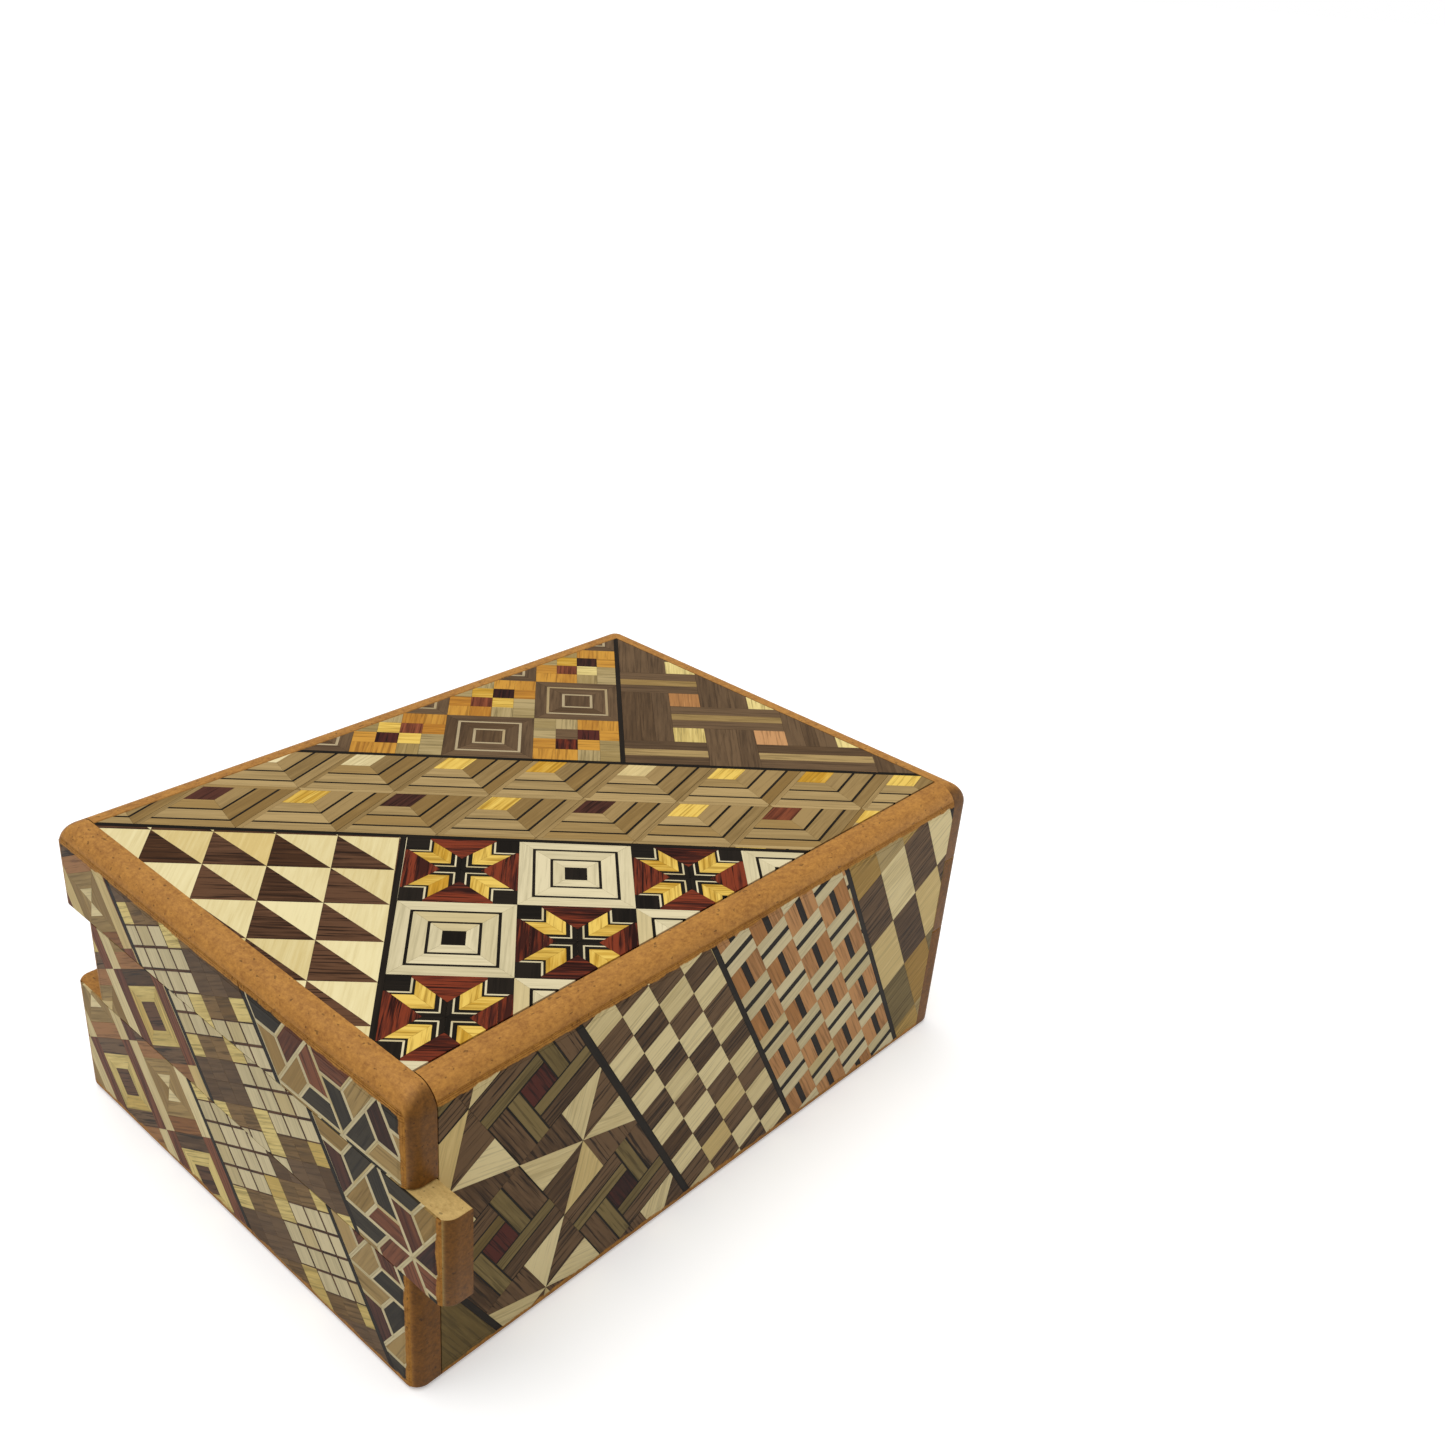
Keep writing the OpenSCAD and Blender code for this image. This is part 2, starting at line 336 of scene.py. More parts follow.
def new_material(name: str) -> tuple[Material, Nodes]:
    """Make a material without nodes.

    Args:
        name: Its name.

    Returns:
        The material, and the helper for its nodes.
    """
    material = bpy.data.materials.new(name)
    material.use_nodes = True
    return material, Nodes(material.node_tree)


class SharedEffects:
    """Shader node groups that more than one finish uses; each is built once."""

    def __init__(self) -> None:
        """Build the groups."""
        self.grain, self.border, self.board = self._veneer_grain(), self._sanded_border(), self._board_grain()

    @staticmethod
    def _group(name: str, inputs: dict[str, str], outputs: dict[str, str]) -> tuple[Nodes, Sockets, Node]:
        """Make an empty group with named sockets.

        Args:
            name: Name of the group.
            inputs: Kind of each input, such as Color or Float, by its name.
            outputs: Kind of each output likewise.

        Returns:
            The helper for its tree, what it is given, and the node that takes its results.
        """
        tree = bpy.data.node_groups.new(name, "ShaderNodeTree")
        for way, sockets in (("INPUT", inputs), ("OUTPUT", outputs)):
            for label, kind in sockets.items():
                tree.interface.new_socket(label, in_out=way, socket_type=f"NodeSocket{kind}")
        n = Nodes(tree)
        return n, n.add("NodeGroupInput").outputs, n.add("NodeGroupOutput")

    def _veneer_grain(self) -> NodeTree:
        """Grain of one small piece of veneer: noise stretched along the piece's own grain direction.

        The place is drawn out by taking away most of its part along the grain, and each piece's own tone
        moves it far off, so neighbours never share a figure.

        Returns:
            The group.
        """
        n, given, leave = self._group(
            "veneer_grain", {"Light": "Color", "Dark": "Color", "Pores": "Float", "Figure": "Float"},
            {"Color": "Color", "Height": "Float"})
        apart, coarse_pull, fine_pull = 400.0, 0.90, 0.965
        place, grain, tone = n.place(), n.attribute("grain", "Vector"), n.attribute("tone")
        own = n.vector("SCALE", n.vector("ADD", grain, (0.31, 0.57, 0.83)), n.times(tone, apart))
        moved = n.vector("ADD", place, own)
        along = n.vector("DOT_PRODUCT", moved, grain)
        coarse, fine = (n.vector("SUBTRACT", moved, n.vector("SCALE", grain, n.times(along, pull)))
                        for pull in (coarse_pull, fine_pull))
        figure, lines = n.noise(coarse, 1.3, 3.0, 0.6), n.noise(fine, 2.4, 3.0, 0.62)
        pores = n.ramp(lines, 0.52, 0.62)
        share = n.clamped(n.total(n.swing(figure, n.times(given["Figure"], 2.4)), 0.5, n.swing(tone, 1.2),
                                  n.swing(lines, n.times(given["Figure"], 1.7))))
        plain = n.mix(share, given["Light"], given["Dark"])
        warm = n.mix(n.times(n.ramp(tone, 0.72, 1.0), 0.6), plain, (1.04, 0.93, 0.70), "MULTIPLY")
        deep = n.mix(0.62, given["Dark"], (0.0, 0.0, 0.0))
        n.fill(leave, {"Color": n.mix(n.times(pores, given["Pores"]), warm, deep),
                       "Height": n.math("SUBTRACT", n.times(figure, 0.4), n.times(pores, 0.6))})
        return n.tree

    def _sanded_border(self) -> NodeTree:
        """Mask of the wood that shows where rounding the edge has sanded through the veneer.

        Returns:
            The group: a smooth step of the border attribute, made ragged by two noises.
        """
        n, _, leave = self._group("sanded_border", {}, {"Mask": "Float"})
        place, border = n.place(), n.attribute("border")
        ragged, rough = n.swing(n.noise(place, 0.35), 0.7), n.swing(n.noise(place, 3.2, 3.0, 0.7), 0.35)
        n.fill(leave, {"Mask": n.ramp(n.total(border, n.total(ragged, rough)), 0.30, 0.46)})
        return n.tree

    def _board_grain(self) -> NodeTree:
        """Short-grained solid wood: specks and soft streaks along the board, darker where the ends show.

        Returns:
            The group.
        """
        n, given, leave = self._group(
            "board_grain",
            {"Light": "Color", "Dark": "Color", "End": "Color", "Along": "Vector", "Speck": "Float"},
            {"Color": "Color", "Height": "Float"})
        pull, knot = 0.35, (0.012, 0.006, 0.002)
        place, normal = n.place(), n.add("TexCoord").outputs["Normal"]
        along = n.vector("DOT_PRODUCT", place, given["Along"])
        drawn = n.vector("SUBTRACT", place, n.vector("SCALE", given["Along"], n.times(along, pull)))
        streaks, fibres = n.noise(drawn, 0.9, 5.0, 0.75), n.noise(drawn, 2.2, 3.0, 0.7)
        cloud = n.noise(place, 0.12)
        specks = n.ramp(n.noise(drawn, 1.6, 1.0), 0.69, 0.735)
        share = n.clamped(n.total(n.swing(streaks, 1.9), n.swing(fibres, 2.2), 0.42, n.swing(cloud, 0.9)))
        side = n.mix(share, given["Light"], given["Dark"])
        facing = n.math("ABSOLUTE", n.vector("DOT_PRODUCT", normal, given["Along"]))
        rings = n.vector("MULTIPLY", given["End"], n.mix(share, (1.35, 1.35, 1.35), (0.65, 0.65, 0.65)))
        ended = n.mix(n.ramp(facing, 0.15, 0.75), side, rings)
        n.fill(leave, {"Color": n.mix(n.times(specks, given["Speck"]), ended, n.mix(0.8, ended, knot)),
                       "Height": n.math("SUBTRACT", n.times(fibres, 0.5), n.times(specks, 0.5))})
        return n.tree


@cache
def shared_effects() -> SharedEffects:
    """Return the shared node groups, built on the first call."""
    return SharedEffects()


def board_look(n: Nodes, finish: BoardFinish, along: Triple) -> Sockets:
    """Return the outputs of a board's grain with its length in a given direction."""
    return n.group(shared_effects().board, Light=finish.light, Dark=finish.dark, End=finish.end,
                   Along=along, Speck=finish.speck)


@cache
def board_material(finish: BoardFinish) -> Material:
    """Make the material of a solid board, once.

    Args:
        finish: Its look.

    Returns:
        The material.
    """
    material, n = new_material(finish.name)
    grain = board_look(n, finish, finish.along)
    n.surface(grain["Color"], grain["Height"], finish.roughness, 0.2, 0.6, 0.06)
    return material


@cache
def veneer_material(wood: Wood) -> Material:
    """Make the material of one veneer wood, once; it gives way to bare wood at worn borders.

    Args:
        wood: The wood.

    Returns:
        The material.
    """
    look, effects = wood.value, shared_effects()
    material, n = new_material(look.name)
    grain = n.group(effects.grain, Light=look.light, Dark=look.dark, Pores=look.pores, Figure=look.figure)
    bare, worn = board_look(n, SIDE_WOOD, (0, 0, 1))["Color"], n.group(effects.border)["Mask"]
    n.surface(n.mix(worn, grain["Color"], bare), grain["Height"], 0.45, 0.06, 0.3, 0.03)
    return material


# ---- Meshes ----


def make_mesh(name: str, points: Array, faces: Sequence[Array]) -> Mesh:
    """Make a mesh from whole arrays.

    Args:
        name: Name of the mesh.
        points: Corner places, one row each.
        faces: Arrays of corner numbers, one row a face; each array holds faces of one size.

    Returns:
        The new mesh, in metres.
    """
    mesh = bpy.data.meshes.new(name)
    corner = np.concatenate([part.ravel() for part in faces]).astype(np.int32)
    sizes = np.concatenate([np.full(len(part), part.shape[1], dtype=np.int32) for part in faces])
    mesh.vertices.add(len(points))
    mesh.vertices.foreach_set("co", (points * MM).astype(np.float32).ravel())
    mesh.loops.add(len(corner))
    mesh.loops.foreach_set("vertex_index", corner)
    mesh.polygons.add(len(sizes))
    mesh.polygons.foreach_set("loop_start", np.concatenate([[0], np.cumsum(sizes)[:-1]]).astype(np.int32))
    mesh.polygons.foreach_set("loop_total", sizes)
    mesh.update(calc_edges=True)
    mesh.polygons.foreach_set("use_smooth", np.zeros(len(sizes), dtype=bool))
    return mesh


def in_scene(name: str, data: bpy.types.ID) -> Object:
    """Put something into the scene.

    Args:
        name: Name of the new object.
        data: Its mesh, lamp or camera.

    Returns:
        The object.
    """
    made = bpy.data.objects.new(name, data)
    bpy.context.scene.collection.objects.link(made)
    return made


def add_piece(mesh: Mesh, materials: Iterable[Material], body: str,
              stands_for: str) -> None:
    """Put a mesh into the scene as a piece that rides on a body and replaces a CAD node.

    Args:
        mesh: The finished mesh.
        materials: Its materials, in slot order.
        body: The CAD body that it moves with.
        stands_for: The CAD node that it replaces.
    """
    piece = in_scene(mesh.name, mesh)
    for material in materials:
        mesh.materials.append(material)
    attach(piece, body)
    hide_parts(stands_for)
    LOG.info("%s: %d faces on %s", piece.name, len(mesh.polygons), body)


def loft(name: str, rings: Array) -> Mesh:
    """Skin closed rings from the first to the last and close both ends.

    Args:
        name: Name of the mesh.
        rings: Places, of shape (rings, points on a ring, 3).

    Returns:
        A closed mesh with doubles merged and faces outward.
    """
    count, size = rings.shape[:2]
    step = np.arange(size)
    after = (step + 1) % size
    base = (np.arange(count - 1) * size)[:, None]
    quads = np.stack([base + step, base + after, base + size + after, base + size + step], axis=-1)
    ends = np.stack([step[::-1], (count - 1) * size + step])
    mesh = make_mesh(name, rings.reshape(-1, 3), [quads.reshape(-1, 4), ends])
    work = bmesh.new()
    work.from_mesh(mesh)
    bmesh.ops.remove_doubles(work, verts=work.verts, dist=1e-6)
    bmesh.ops.recalc_face_normals(work, faces=work.faces)
    work.to_mesh(mesh)
    work.free()
    return mesh


def cut_away(mesh: Mesh, blocks: Blocks) -> Mesh:
    """Take blocks out of a closed mesh, one after another.

    Args:
        mesh: The closed mesh, which is used up.
        blocks: Lowest and highest corner of each block.

    Returns:
        The cut mesh under the same name.
    """
    name, work = mesh.name, [in_scene("work_body", mesh)]
    for (x0, y0, z0), (x1, y1, z1) in blocks:
        ring = np.array([(x0, y0), (x1, y0), (x1, y1), (x0, y1)])
        rings = np.stack([np.c_[ring, np.full(4, z)] for z in (z0, z1)])
        work.append(in_scene("work_tool", loft("work_tool", rings)))
        cut = work[0].modifiers.new("cut", "BOOLEAN")
        cut.operation, cut.solver, cut.object = "DIFFERENCE", "EXACT", work[-1]
    graph = bpy.context.evaluated_depsgraph_get()
    done = bpy.data.meshes.new_from_object(work[0].evaluated_get(graph))
    for used in work:
        old = used.data
        bpy.data.objects.remove(used)
        bpy.data.meshes.remove(old)
    done.name = name
    return done


def soften(mesh: Mesh, angle: float = 30.0) -> Mesh:
    """Shade a mesh smooth except where its faces meet at more than an angle in degrees.

    Args:
        mesh: The mesh.
        angle: The angle.

    Returns:
        The same mesh.
    """
    mesh.polygons.foreach_set("use_smooth", np.ones(len(mesh.polygons), dtype=bool))
    mesh.set_sharp_from_angle(angle=math.radians(angle))
    return mesh


# ---- Parquetry ----


def direction(angle: float) -> Array:
    """Return the unit vector at an angle in degrees."""
    return np.array([math.cos(math.radians(angle)), math.sin(math.radians(angle))])


def picked(rows: Array, order: Array) -> Array:
    """Return each row's places in an order of the row's own."""
    return np.take_along_axis(rows, order[..., None], axis=1)


@dataclass(frozen=True)
class Cutting:
    """Pieces of veneer that lie side by side in a plane, as arrays with one row a piece.

    Corners run anticlockwise; only the first count of them are real.
    """

    corners: Array
    count: Array
    wood: Array
    grain: Array
    tone: Array
    least: ClassVar[float] = 0.004
    least_eased: ClassVar[float] = 0.003
    least_share: ClassVar[float] = 0.3
    least_lean: ClassVar[float] = 0.35

    def arrays(self) -> tuple[Array, ...]:
        """Return all five arrays."""
        return self.corners, self.count, self.wood, self.grain, self.tone

    @staticmethod
    def of(*parts: Part) -> "Cutting":
        """Make a cutting from pieces.

        Args:
            parts: Corners, wood and the grain's angle in degrees of each piece.

        Returns:
            The cutting, every outline anticlockwise.
        """
        most = max(len(corners) for corners, _, _ in parts)
        rows = [list(corners) + [corners[-1]] * (most - len(corners)) for corners, _, _ in parts]
        angles = np.radians([angle for _, _, angle in parts])
        return Cutting(np.array(rows, dtype=float), np.array([len(c) for c, _, _ in parts]),
                       np.array([WOOD_ORDER.index(wood) for _, wood, _ in parts]),
                       np.stack([np.cos(angles), np.sin(angles)], axis=-1),
                       np.full(len(parts), 0.5)).turned_right()

    def _after(self) -> Array:
        """Return each corner's next corner, going round within the real ones."""
        after = np.arange(self.corners.shape[1]) + 1
        return picked(self.corners, np.where(after < self.count[:, None], after, 0))

    def real(self) -> Array:
        """Return which corners are real."""
        return np.arange(self.corners.shape[1]) < self.count[:, None]

    def area(self) -> Array:
        """Return signed areas: half the sum of x times next y less next x times y."""
        (x, y), (next_x, next_y) = (np.moveaxis(corners, -1, 0) for corners in (self.corners, self._after()))
        return 0.5 * np.where(self.real(), x * next_y - next_x * y, 0.0).sum(axis=1)

    def rows(self, which: Array) -> "Cutting":
        """Return the pieces that a mask or an index array names."""
        return Cutting(*(part[which] for part in self.arrays()))

    def turned_right(self) -> "Cutting":
        """Turn every clockwise outline round.

        Returns:
            The same pieces, all anticlockwise.
        """
        at, count = np.arange(self.corners.shape[1]), self.count[:, None]
        flipped = picked(self.corners, np.where(at < count, count - 1 - at, at))
        return replace(self, corners=np.where((self.area() < 0)[:, None, None], flipped, self.corners))

    def laid(self, centres: Array, turn: float = 0.0) -> "Cutting":
        """Repeat the pieces at many places.

        Args:
            centres: Where the cutting's origin goes, one row a copy.
            turn: Angle that every copy is turned by, in degrees.

        Returns:
            All copies in one cutting.
        """
        c, s = math.cos(math.radians(turn)), math.sin(math.radians(turn))
        spin = np.array([[c, s], [-s, c]])
        copies = len(centres)
        corners = (self.corners @ spin)[None] + centres[:, None, None, :]
        return Cutting(corners.reshape(-1, *self.corners.shape[1:]), np.tile(self.count, copies),
                       np.tile(self.wood, copies), np.tile(self.grain @ spin, (copies, 1)),
                       np.tile(self.tone, copies))

    def at(self, x: float, y: float, turn: float = 0.0, across: Triple = (0, 0, 0),
           up: Triple = (0, 0, 0)) -> "Cutting":
        """Turn the pieces about the origin, move them, and lay them a little out of true, as hands would.

        Args:
            x: How far to the right they go.
            y: How far up.
            turn: Angle that they are turned by, in degrees.
            across: What x then gains: a share of x, a share of y and a length.
            up: What y gains, likewise.

        Returns:
            The same pieces, each corner p at last moved to p + M p + d.
        """
        placed = self.laid(np.array([(x, y)], dtype=float), turn)
        plane = np.eye(2) + np.array([across[:2], up[:2]])
        return replace(placed, corners=placed.corners @ plane.T + np.array([across[2], up[2]]))

    def turned(self, angle: float) -> "Cutting":
        """Turn the pieces about the origin by an angle in degrees."""
        return self.laid(np.zeros((1, 2)), angle)

    def round(self) -> "Cutting":
        """Repeat a quarter at 0, 90, 180 and 270 degrees about the origin."""
        return gather([self.turned(angle) for angle in (0, 90, 180, 270)])

    def kept(self, normal: Point, limit: float) -> "Cutting":
        """Cut every piece along a line and keep the side where normal times place is below a limit.

        Each edge gives its first corner if that is kept, then the point where it crosses the line.

        Args:
            normal: Direction across the line.
            limit: The line's place along it.

        Returns:
            What is left, without slivers.
        """
        size, most = self.corners.shape[:2]
        if size == 0:
            return self
        here, there = self.corners, self._after()
        over_here, over_there = here @ np.array(normal) - limit, there @ np.array(normal) - limit
        stays = self.real() & (over_here <= 0)
        crosses = self.real() & ((over_here <= 0) != (over_there <= 0))
        share = over_here / np.where(crosses, over_here - over_there, 1.0)
        crossing = here + (there - here) * share[..., None]
        points = np.stack([here, crossing], axis=2).reshape(size, 2 * most, 2)
        flags = np.stack([stays, crosses], axis=2).reshape(size, 2 * most)
        order = np.argsort(~flags, axis=1, kind="stable")
        points = picked(points, order)
        count = flags.sum(axis=1)
        made = replace(self, corners=points[:, :max(int(count.max()), 3)], count=count).rows(count >= 3)
        return made.rows(made.area() > self.least)

    def between(self, normal: Point, low: float, high: float) -> "Cutting":
        """Keep what lies between two parallel lines."""
        return self.kept(normal, high).kept((-normal[0], -normal[1]), -low)

    def within(self, low: Point, high: Point) -> "Cutting":
        """Keep what lies inside an upright rectangle."""
        return self.between((1.0, 0.0), low[0], high[0]).between((0.0, 1.0), low[1], high[1])

    def split(self, normal: Point, limit: float) -> "Cutting":
        """Cut every piece along a line and keep both sides."""
        return gather([self.kept(normal, limit), self.kept((-normal[0], -normal[1]), -limit)])

    def toned(self, seed: int) -> "Cutting":
        """Give every piece its own random tone between 0 and 1."""
        return replace(self, tone=np.random.default_rng(seed).random(len(self.count)))

    def eased(self, joint: float) -> "Cutting":
        """Draw every outline in by half a joint: each corner moves along the sum of its edges' normals.

        Args:
            joint: Width of the joint between two pieces.

        Returns:
            The pieces that are still there.
        """
        made = self.turned_right()
        at = np.arange(made.corners.shape[1])
        before = np.where(at > 0, at - 1, made.count[:, None] - 1)
        edge = made._after() - made.corners
        inward = np.stack([-edge[..., 1], edge[..., 0]], axis=-1)
        inward /= np.maximum(np.linalg.norm(inward, axis=-1, keepdims=True), 1e-9)
        last = picked(inward, before)
        lean = 1.0 + (inward * last).sum(axis=-1, keepdims=True)
        move = (inward + last) / np.maximum(lean, self.least_lean) * joint / 2
        eased = replace(made, corners=made.corners + move)
        return eased.rows(eased.area() > np.maximum(self.least_eased, self.least_share * made.area()))


def gather(parts: Iterable[Cutting]) -> Cutting:
    """Lay several cuttings into one.

    Args:
        parts: The cuttings.

    Returns:
        Their pieces in the same order, each filled up to the longest outline.
    """
    parts = [part for part in parts if len(part.count)]
    most = max(part.corners.shape[1] for part in parts)
    ends = [np.repeat(part.corners[:, -1:], most - part.corners.shape[1], axis=1) for part in parts]
    filled = [np.concatenate([part.corners, end], axis=1) for part, end in zip(parts, ends)]
    return Cutting(*map(np.concatenate, (filled, *zip(*(part.arrays()[1:] for part in parts)))))


def sheet_of(wood: Wood, grain: float = 0.0) -> Cutting:
    """Return one large piece of a wood, to be cut down."""
    return Cutting.of(block((-150, -150), (150, 150), wood, grain))


def block(low: Point, high: Point, wood: Wood, grain: float = 0.0) -> Part:
    """Return an upright rectangle as one piece."""
    return [low, (high[0], low[1]), high, (low[0], high[1])], wood, grain


def square(half: float, wood: Wood, grain: float = 0.0) -> Part:
    """Return a square about the origin as one piece."""
    return block((-half, -half), (half, half), wood, grain)


def mitred(outer: float, inner: float, woods: dict[int, Wood]) -> list[Part]:
    """Return the mitred sides of a square frame about the origin, the grain along each.

    Args:
        outer: Half the frame's side.
        inner: Half its opening's side, or 0 where the sides meet in a point.
        woods: Wood of each side by its number, 0 for the lower one, then anticlockwise.

    Returns:
        The sides in the order of the woods.
    """
    ways, parts = [(-1, -1), (1, -1), (1, 1), (-1, 1)], []
    for number, wood in woods.items():
        (a, b), (c, d) = ways[number], ways[(number + 1) % 4]
        inside = [(inner * c, inner * d), (inner * a, inner * b)] if inner else [(0, 0)]
        parts.append(([(outer * a, outer * b), (outer * c, outer * d)] + inside, wood, 90.0 * (number % 2)))
    return parts


def diamond_rings(reaches: Sequence[float], woods: Sequence[Wood]) -> Cutting:
    """Nested diamonds of two woods in turn, each of four mitred strips.

    Args:
        reaches: Half diagonals of the diamonds, from the outermost inwards; the last is 0.
        woods: The two woods, the outermost diamond's first.

    Returns:
        The strips, and the whole diamond inside them.
    """
    ways, parts = [direction(90 * k) for k in range(5)], []
    for number, (outer, inner) in enumerate(zip(reaches, reaches[1:])):
        corners = [(outer * u, outer * v, inner * v, inner * u) for u, v in zip(ways, ways[1:])]
        angles = [90 * k + 135 for k in range(4)]
        if not inner:
            corners, angles = [[outer * way for way in ways[:4]]], [45.0]
        parts += [(corner, woods[number % 2], angle) for corner, angle in zip(corners, angles)]
    return Cutting.of(*parts)


def level_strips(left: float, right: float, heights: Sequence[float], woods: Sequence[Wood]) -> Cutting:
    """Level strips one above another.

    Args:
        left: Where all of them start.
        right: Where they end.
        heights: Heights of the joints and of the lower and upper edge, going up.
        woods: Wood of each strip.

    Returns:
        The strips.
    """
    return Cutting.of(*(block((left, low), (right, high), wood)
                        for low, high, wood in zip(heights, heights[1:], woods)))


@dataclass(frozen=True)
class Lattice:
    """A regular net of places about the origin: i first + j second, kept to the box's neighbourhood."""

    first: Point
    second: Point
    origin: Point = (0, 0)
    reach: int = 24
    far: float = 95

    def net(self) -> tuple[Array, Array, Array]:
        """Work out the net.

        Returns:
            The places, and the numbers i and j of each.
        """
        i, j = (n.ravel() for n in np.mgrid[-self.reach:self.reach + 1, -self.reach:self.reach + 1])
        places = np.array(self.origin) + np.outer(i, self.first) + np.outer(j, self.second)
        near = (np.abs(places) < self.far).all(axis=1)
        return places[near], i[near], j[near]

    def checker(self, even: Cutting, odd: Cutting) -> Cutting:
        """Lay one cutting where the two numbers' sum is even, then another where it is odd."""
        places, i, j = self.net()
        return gather([even.laid(places[(i + j) % 2 == 0]), odd.laid(places[(i + j) % 2 == 1])])

    def paired(self, here: Cutting, beside: Cutting, x: float, y: float) -> Cutting:
        """Lay one cutting at every place, then another beside each of them."""
        places, _, _ = self.net()
        return gather([here.laid(places), beside.laid(places + np.array([x, y]))])


# ---- Fields of the parquetry, each an endless tiling about its own origin ----


def sawtooth_field(r: float = 6.5) -> Cutting:
    """Diamonds of a half diagonal, halved into a dark left and a pale right triangle."""
    halves = ([(-r, 0), (0, -r), (0, r)], Wood.WALNUT, -45.0), ([(r, 0), (0, r), (0, -r)], Wood.IVORY, 45.0)
    return Cutting.of(*halves).laid(Lattice((r, -r), (0, -2 * r)).net()[0])


def star_cell(reach: float, arm: float = 2.1, long: float = 7.0) -> Cutting:
    """Eight-pointed star in a diamond: four arms of chevrons about q = along less aside, in red ground.

    Args:
        reach: Half diagonal of the cell.
        arm: Half width of an arm.
        long: Where the arm's last chevron starts on the axis.

    Returns:
        The pieces of one cell.
    """
    parts = []
    for low, high, wood in ((0.0, 1.0, Wood.EBONY), (1.0, 1.4, Wood.HOLLY), (1.4, 2.2, Wood.EBONY),
                            (2.2, 6.1, Wood.YELLOW), (6.1, 6.55, Wood.EBONY), (6.55, long, Wood.HOLLY)):
        for side in (1, -1):
            corners = [(low, 0), (high, 0), (high + arm, side * arm), (low + arm, side * arm)]
            parts.append((corners, wood, side * 45.0))
    tip = (reach - long) / 2
    parts.append(([(long, 0), (long + tip, -tip), (reach, 0), (long + tip, tip)], Wood.EBONY, 45.0))
    ground = Cutting.of(([(arm, arm), (arm + long, arm), (long + tip, tip), (tip, long + tip),
                          (arm, arm + long)], Wood.MAHOGANY, 135.0))
    strips = [ground.between((1.0, 1.0), low, high) for low, high in ((0, 6.6), (6.6, 9.2), (9.2, 24.0))]
    return gather([Cutting.of(*parts), *strips]).round()


def star_field(reach: float = 11.9) -> Cutting:
    """Star cells and cells of nested cream squares, in a diamond checker.

    Args:
        reach: Half diagonal of a cell.

    Returns:
        The tiling.
    """
    squares = diamond_rings((reach, 9.0, 8.4, 5.3, 4.75, 2.3, 0), (Wood.HOLLY, Wood.EBONY))
    return Lattice((2 * reach, 0), (0, 2 * reach)).paired(star_cell(reach), squares, reach, reach)


def step_cell(centre: Wood, side: float, end: float = 13.9, heart: float = 9.2) -> Cutting:
    """Rhombic cell of nested steps, mitred on its long diagonal, about a small rhomb of its own wood.

    A place is s along the direction at 135 degrees plus t along the direction at 15 degrees.

    Args:
        centre: Wood of the small rhomb.
        side: Side of the cell.
        end: Where the steps end.
        heart: Where the small rhomb starts.

    Returns:
        The pieces of one cell.
    """
    parts = []
    for low, high, pale in ((0.0, 2.1, True), (2.1, 2.55, False), (2.55, 5.7, True), (5.7, 6.15, False),
                            (6.15, heart, True)):
        steep, flat = (Wood.TAN, Wood.UMBER) if pale else (Wood.EBONY, Wood.EBONY)
        parts += [([(low, low), (high, high), (end, high), (end, low)], steep, 135.0),
                  ([(low, low), (low, end), (high, end), (high, high)], flat, 15.0)]
    parts += [([(heart, heart), (heart, end), (end, end), (end, heart)], centre, 15.0),
              ([(end, 0), (side, 0), (side, end), (end, end)], Wood.UMBER, 15.0),
              ([(0, end), (end, end), (side, side), (0, side)], Wood.TAN, 135.0),
              ([(side, end), (end, end), (side, side)], Wood.UMBER, 15.0)]
    return Cutting.of(*(([tuple(s * direction(135) + t * direction(15)) for s, t in corners], wood, angle)
                        for corners, wood, angle in parts))


def step_field(side: float = 14.8, shift: float = 10.5) -> Cutting:
    """Rows of step cells side by side, with their centres in a set order of woods.

    Args:
        side: Side of a cell.
        shift: How far each cell lies to the right of and below the one before.

    Returns:
        The tiling.
    """
    woods = {"p": Wood.PURPLE, "y": Wood.YELLOW, "r": Wood.RED, "c": Wood.CREAM}
    cells = []
    for row, order in ((-1, "ccyycyyy"), (0, "pypypyry"), (1, "ccyycyyy"), (2, "pypypyry")):
        for k in range(-6, 12):
            place = row * (side * direction(15)) + k * np.array([shift, -shift])
            cells.append(step_cell(woods[order[(k + 1) % len(order)]], side).laid(place[None]))
    return gather(cells)


def mill_cell(reach: float, hearts: Sequence[Wood], small: float = 5.3) -> Cutting:
    """Make a diamond of four squares, each an L about a small square at the middle.

    Args:
        reach: Half diagonal of the cell.
        hearts: Woods of the small squares, from the right one anticlockwise.
        small: Diagonal of a small square.

    Returns:
        The pieces of one cell.
    """
    half, h = reach / 2, small / 2
    parts = []
    for number, heart in enumerate(hearts):
        turn, ground = 90.0 * number, (Wood.ORANGE, Wood.SAGE)[number % 2]
        c, s = direction(turn).tolist()
        for corners, wood, angle in (
                ([(0, 0), (h, -h), (small, 0), (h, h)], heart, 45.0),
                ([(small, 0), (half + h, -half + h), (reach, 0), (half + h, half - h)], ground, 45.0),
                ([(h, -h), (half, -half), (half + h, -half + h), (small, 0)], ground, -45.0),
                ([(h, h), (small, 0), (half + h, half - h), (half, half)], ground, 45.0)):
            parts.append(([(c * x - s * y, s * x + c * y) for x, y in corners], wood, turn + angle))
    return Cutting.of(*parts)


